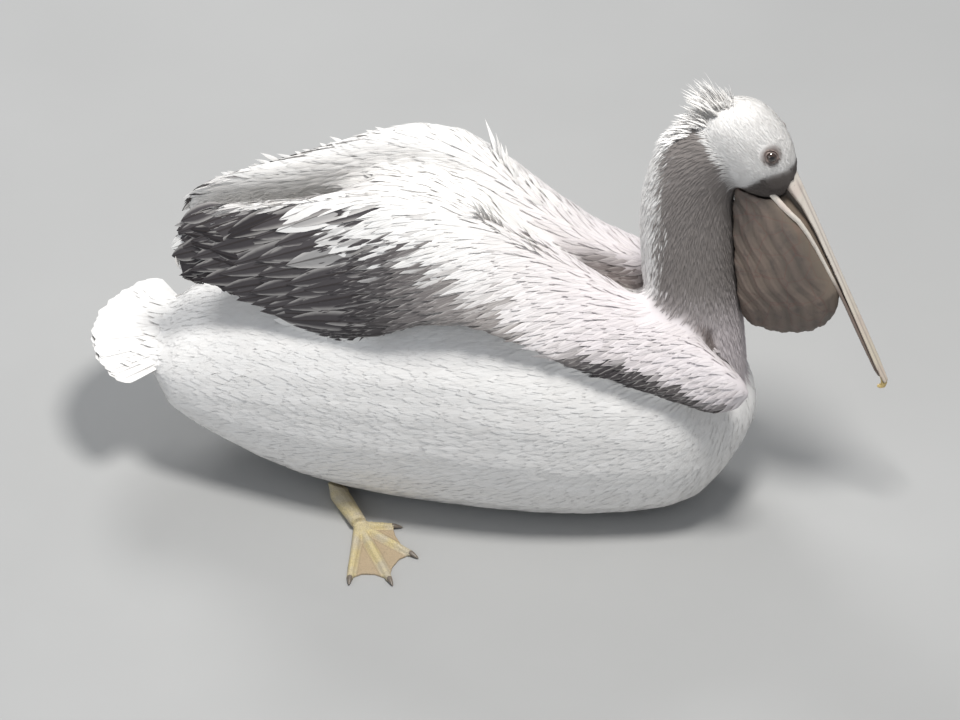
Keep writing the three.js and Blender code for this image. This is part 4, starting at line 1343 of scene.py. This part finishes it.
# %% Finishes of the eye and the lids
def eye_look(wire):
    turn_away = wire.number("gaze")
    rays = wire.noise(900.0, 3.0)
    color = wire.layers((0.006, 0.005, 0.005), [
        ((0.035, 0.02, 0.013), turn_away.between(0.34, 0.42)),
        ((0.09, 0.05, 0.028), turn_away.between(0.4, 0.6) * rays.between(0.45, 0.6) * 0.25),
        ((0.02, 0.012, 0.01), turn_away.between(0.72, 0.86)),
    ])
    return {"Base Color": color, "Roughness": 0.05 + turn_away.between(0.9, 1.3) * 0.15,
            "Normal": wire.bump(rays, 0.04, 0.0002), "Coat Weight": 1.0, "Coat Roughness": 0.03}


def lid_look(wire):
    clouds = wire.noise(200.0, 4.0)
    creases = wire.noise(900.0, 4.0)
    color = wire.blend((0.27, 0.21, 0.185), (0.14, 0.11, 0.1), clouds.between(0.4, 0.65))
    return {"Base Color": color, "Roughness": 0.5 + creases * 0.15, "Normal": wire.bump(creases, 0.5, 0.0003)}


EYE = finish_named("eye", eye_look)
LID = finish_named("lid_skin", lid_look)


# %% Tools for round pieces
def full_turn(count):
    return np.linspace(0, 2 * math.pi, count, endpoint=False)


def turned(angles, first, second):
    """Directions turned from the first towards the second."""
    return np.cos(angles)[..., None] * first + np.sin(angles)[..., None] * second


def grid_faces(rows, columns, hoop=False):
    """Faces of a tube of rings, with corners numbered ring by ring. A hoop's last ring meets its first."""
    faces = []
    for row in range(rows if hoop else rows - 1):
        here, ahead = row * columns, (row + 1) % rows * columns
        for column in range(columns):
            after = (column + 1) % columns
            faces.append([here + column, here + after, ahead + after, ahead + column])
    if not hoop:
        faces.append(list(reversed(range(columns))))
        faces.append([(rows - 1) * columns + column for column in range(columns)])
    return faces


def shifted(faces, offset):
    return [[corner + offset for corner in face] for face in faces]


def piece_of(name, places, faces, finish, numbers=()):
    mesh = mesh_of(name, places, faces)
    shade_smooth(mesh)
    for key, values in dict(numbers).items():
        keep_numbers(mesh, key, values)
    mesh.materials.append(finish)
    piece = object_of(mesh, name)
    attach(piece, "root")
    return piece


# %% Make the eyes and lids
def eye_frame(side):
    """The eye's middle, the way it looks, and two directions across it: towards the bill and up."""
    middle = EYE_PLACE * [1, side, 1]
    gaze = unit(np.array([0.30, side * 0.93, 0.12]))
    ahead = unit(HEAD_FORWARD - gaze * (HEAD_FORWARD @ gaze))
    return middle, gaze, ahead, np.cross(gaze, ahead) * side


CORNEA = 0.0009                                             # how far its dome stands out
LID_FOLDS = ((0.0069, 0.0011, 0.0042), (0.0088, 0.0009, 0.0022))    # radius, thickness, distance outward


def eyeball(side, word):
    middle, gaze, ahead, above = eye_frame(side)
    rings, sides = 34, 48
    angles = np.linspace(0.012, math.pi - 0.012, rings)
    bulge = EYE_RADIUS * (1 - 0.04) + CORNEA * np.exp(-(angles / 0.62) ** 2)
    out = turned(angles[:, None], gaze, turned(full_turn(sides) * side, ahead, above))
    places = (middle + out * bulge[:, None, None]).reshape(-1, 3)
    faces = [face[::-1] for face in grid_faces(rings, sides)]
    ball = piece_of("eyeball_" + word, places, faces, EYE, {"gaze": np.repeat(angles, sides)})
    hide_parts("eye_" + word)


def lid_ring(side, word):
    middle, gaze, ahead, above = eye_frame(side)
    sides, around = 10, 72
    turns = full_turn(around)
    places, faces = [], []
    for number, (radius, tube, lift) in enumerate(LID_FOLDS):
        thicker = 1 + 0.35 * np.sin(turns)
        wide = radius * (1 + 0.07 * np.cos(turns) ** 2)
        high = radius * (1 - 0.1 * abs(np.sin(turns)))
        spine = (middle + gaze * lift + np.cos(turns)[:, None] * wide[:, None] * ahead
                 + np.sin(turns)[:, None] * high[:, None] * above)
        out = unit(spine - middle - gaze * lift)
        fold = spine[:, None] + turned(full_turn(sides), out[:, None], gaze) * (tube * thicker)[:, None, None]
        places.append(fold.reshape(-1, 3))
        faces += shifted(grid_faces(around, sides, hoop=True), number * around * sides)
    faces = faces if side > 0 else [face[::-1] for face in faces]
    piece_of("lids_" + word, np.concatenate(places), faces, LID)


for side, word in SIDES:
    eyeball(side, word)
    lid_ring(side, word)
print("eyes and lids made")

# %% [markdown]
# ## Legs and feet
#
# A pelican's four toes are all joined by webs. The skin is scaled on the shank and the tops of the
# toes and finely creased on the webs. The claws are separate small horns, and are made after.

# %% Carve the legs and feet
ANKLE = np.array([-0.142, 0.074, 0.012])
TOE_ROOT = np.array([-0.104, 0.142, 0.0])
FOOT_HEADING = 64
TOES = ((-74, 0.042), (-34, 0.082), (-4, 0.108), (22, 0.100))    # turn from the heading, length
CLAW_REACH = 0.014
CLAW_RADIUS = 0.0037
CLAW_OVER_FLOOR = 0.0002


def toe_ways(side):
    angles = [math.radians(FOOT_HEADING + turn) for turn, _ in TOES]
    return [np.array([math.cos(angle), side * math.sin(angle), 0]) for angle in angles]


def carve_foot(side):
    def carve(mesh, at, out):
        root = TOE_ROOT * [1, side, 1]
        away = at - root
        nearest_toe = np.full(len(at), 1.0)
        reach_along = np.zeros(len(at))
        for way, (_, reach) in zip(toe_ways(side), TOES):
            along = np.clip(away @ way, 0, reach)
            gap = np.linalg.norm((away - along[:, None] * way)[:, :2], axis=1)
            closer = gap < nearest_toe
            reach_along = np.where(closer, along, reach_along)
            nearest_toe = np.minimum(nearest_toe, gap)
            aside = np.linalg.norm((away - (away @ way)[:, None] * way)[:, :2], axis=1)
            under_claw = np.maximum(away @ way - reach + 0.001, 0) * (aside < 0.008)
            at -= way * (under_claw * 0.8)[:, None]        # the skin ends inside the claw
        on_toe = 1 - ramp(nearest_toe, 0.0045, 0.0085)
        on_shank = ramp(0.004 - (at - root) @ unit(root - ANKLE * [1, side, 1]), -0.006, 0.004)
        scaled = np.maximum(on_toe, on_shank)
        upward = ramp(out[:, 2], 0.1, 0.7)
        joints = abs(np.sin(reach_along * 2 * math.pi / 0.0085)) ** 0.5
        keep_numbers(mesh, "scaled", scaled)
        keep_numbers(mesh, "scute", joints * on_toe)
        creases = np.sin(np.linalg.norm(away[:, :2], axis=1) * 2 * math.pi / 0.0042)
        return (joints - 0.7) * 0.0006 * on_toe * upward + creases * 0.00012 * (1 - scaled) * upward
    return carve


# %% Finishes of the feet and claws
def foot_look(wire):
    scaled = wire.number("scaled")
    scute = wire.number("scute")
    clouds = wire.noise(40.0, 5.0)
    plates = wire.cells(420.0)
    seams = 1 - plates.between(0.0, 0.09)
    web_lines = wire.noise(260.0, 5.0)
    color = wire.blend((0.52, 0.46, 0.34), (0.60, 0.50, 0.26), clouds.between(0.35, 0.65))
    color = wire.blend((0.44, 0.34, 0.22), color, scaled)
    color = wire.layers(color, [
        ((0.24, 0.19, 0.13), seams * 0.55),
        ((0.26, 0.2, 0.13), web_lines.between(0.55, 0.75) * 0.35),
        ((0.28, 0.22, 0.14), (1 - scute.between(0.1, 0.4)) * scute.between(0.0, 0.02) * 0.5),
    ])
    height = plates.between(0.0, 0.2) * 0.8 + web_lines * 0.5
    return {"Base Color": color, "Roughness": 0.44 + clouds * 0.2, "Normal": wire.bump(height, 0.6, 0.0006)}


def claw_look(wire):
    clouds = wire.noise(300.0, 4.0)
    color = wire.blend((0.09, 0.075, 0.065), (0.22, 0.18, 0.14), clouds)
    return {"Base Color": color, "Roughness": 0.3 + clouds * 0.15, "Normal": wire.bump(clouds, 0.3, 0.0003)}


FOOT = finish_named("foot_skin", foot_look)
CLAW = finish_named("claw_horn", claw_look)


# %% Make the legs, feet and claws
def claws(side, word):
    """A small bent cone over the end of each toe."""
    rings, sides = 9, 12
    places, faces = [], []
    for number, (way, (_, reach)) in enumerate(zip(toe_ways(side), TOES)):
        share = np.linspace(0, 1, rings)
        start = TOE_ROOT * [1, side, 0] + way * (reach - 0.0035)
        height = 0.0045 - 0.0029 * share ** 1.6
        spine = start + way * (CLAW_REACH * share)[:, None] + np.array([0, 0, 1]) * height[:, None]
        fullness = 0.5 + 0.5 * np.minimum(share * 6 + 0.4, 1)
        radius = CLAW_RADIUS * np.sqrt(np.maximum(1 - share, 0.004)) * fullness
        circle = turned(full_turn(sides), np.array([-way[1], way[0], 0]), np.array([0, 0, 0.82]))
        places.append((spine[:, None] + circle[None] * radius[:, None, None]).reshape(-1, 3))
        faces += shifted(grid_faces(rings, sides), number * rings * sides)
    places = np.concatenate(places)
    places[:, 2] = np.maximum(places[:, 2], CLAW_OVER_FLOOR)
    piece_of("claws_" + word, places, faces, CLAW)


for side, word in SIDES:
    refined("foot_skin_" + word, ["leg_" + word, "foot_" + word], voxel=0.0012, rounds=3,
            finish=FOOT, carve=carve_foot(side), grow=0.0003)
    claws(side, word)

# %% [markdown]
# ## Floor
#
# The bird rests on a plain pale floor that belongs to the studio.

# %% Lay the floor
def floor_look(wire):
    clouds = wire.noise(3.0, 3.0)
    return {"Base Color": wire.blend((0.36, 0.36, 0.355), (0.41, 0.41, 0.405), clouds), "Roughness": 0.75}


FLOOR_REACH = 8
floor_corners = FLOOR_REACH * np.array([[-1, -1, 0], [1, -1, 0], [1, 1, 0], [-1, 1, 0]])
floor_mesh = mesh_of("floor", floor_corners, [[0, 1, 2, 3]])
floor_mesh.materials.append(finish_named("floor", floor_look))
floor = object_of(floor_mesh, "floor")
print("floor laid")
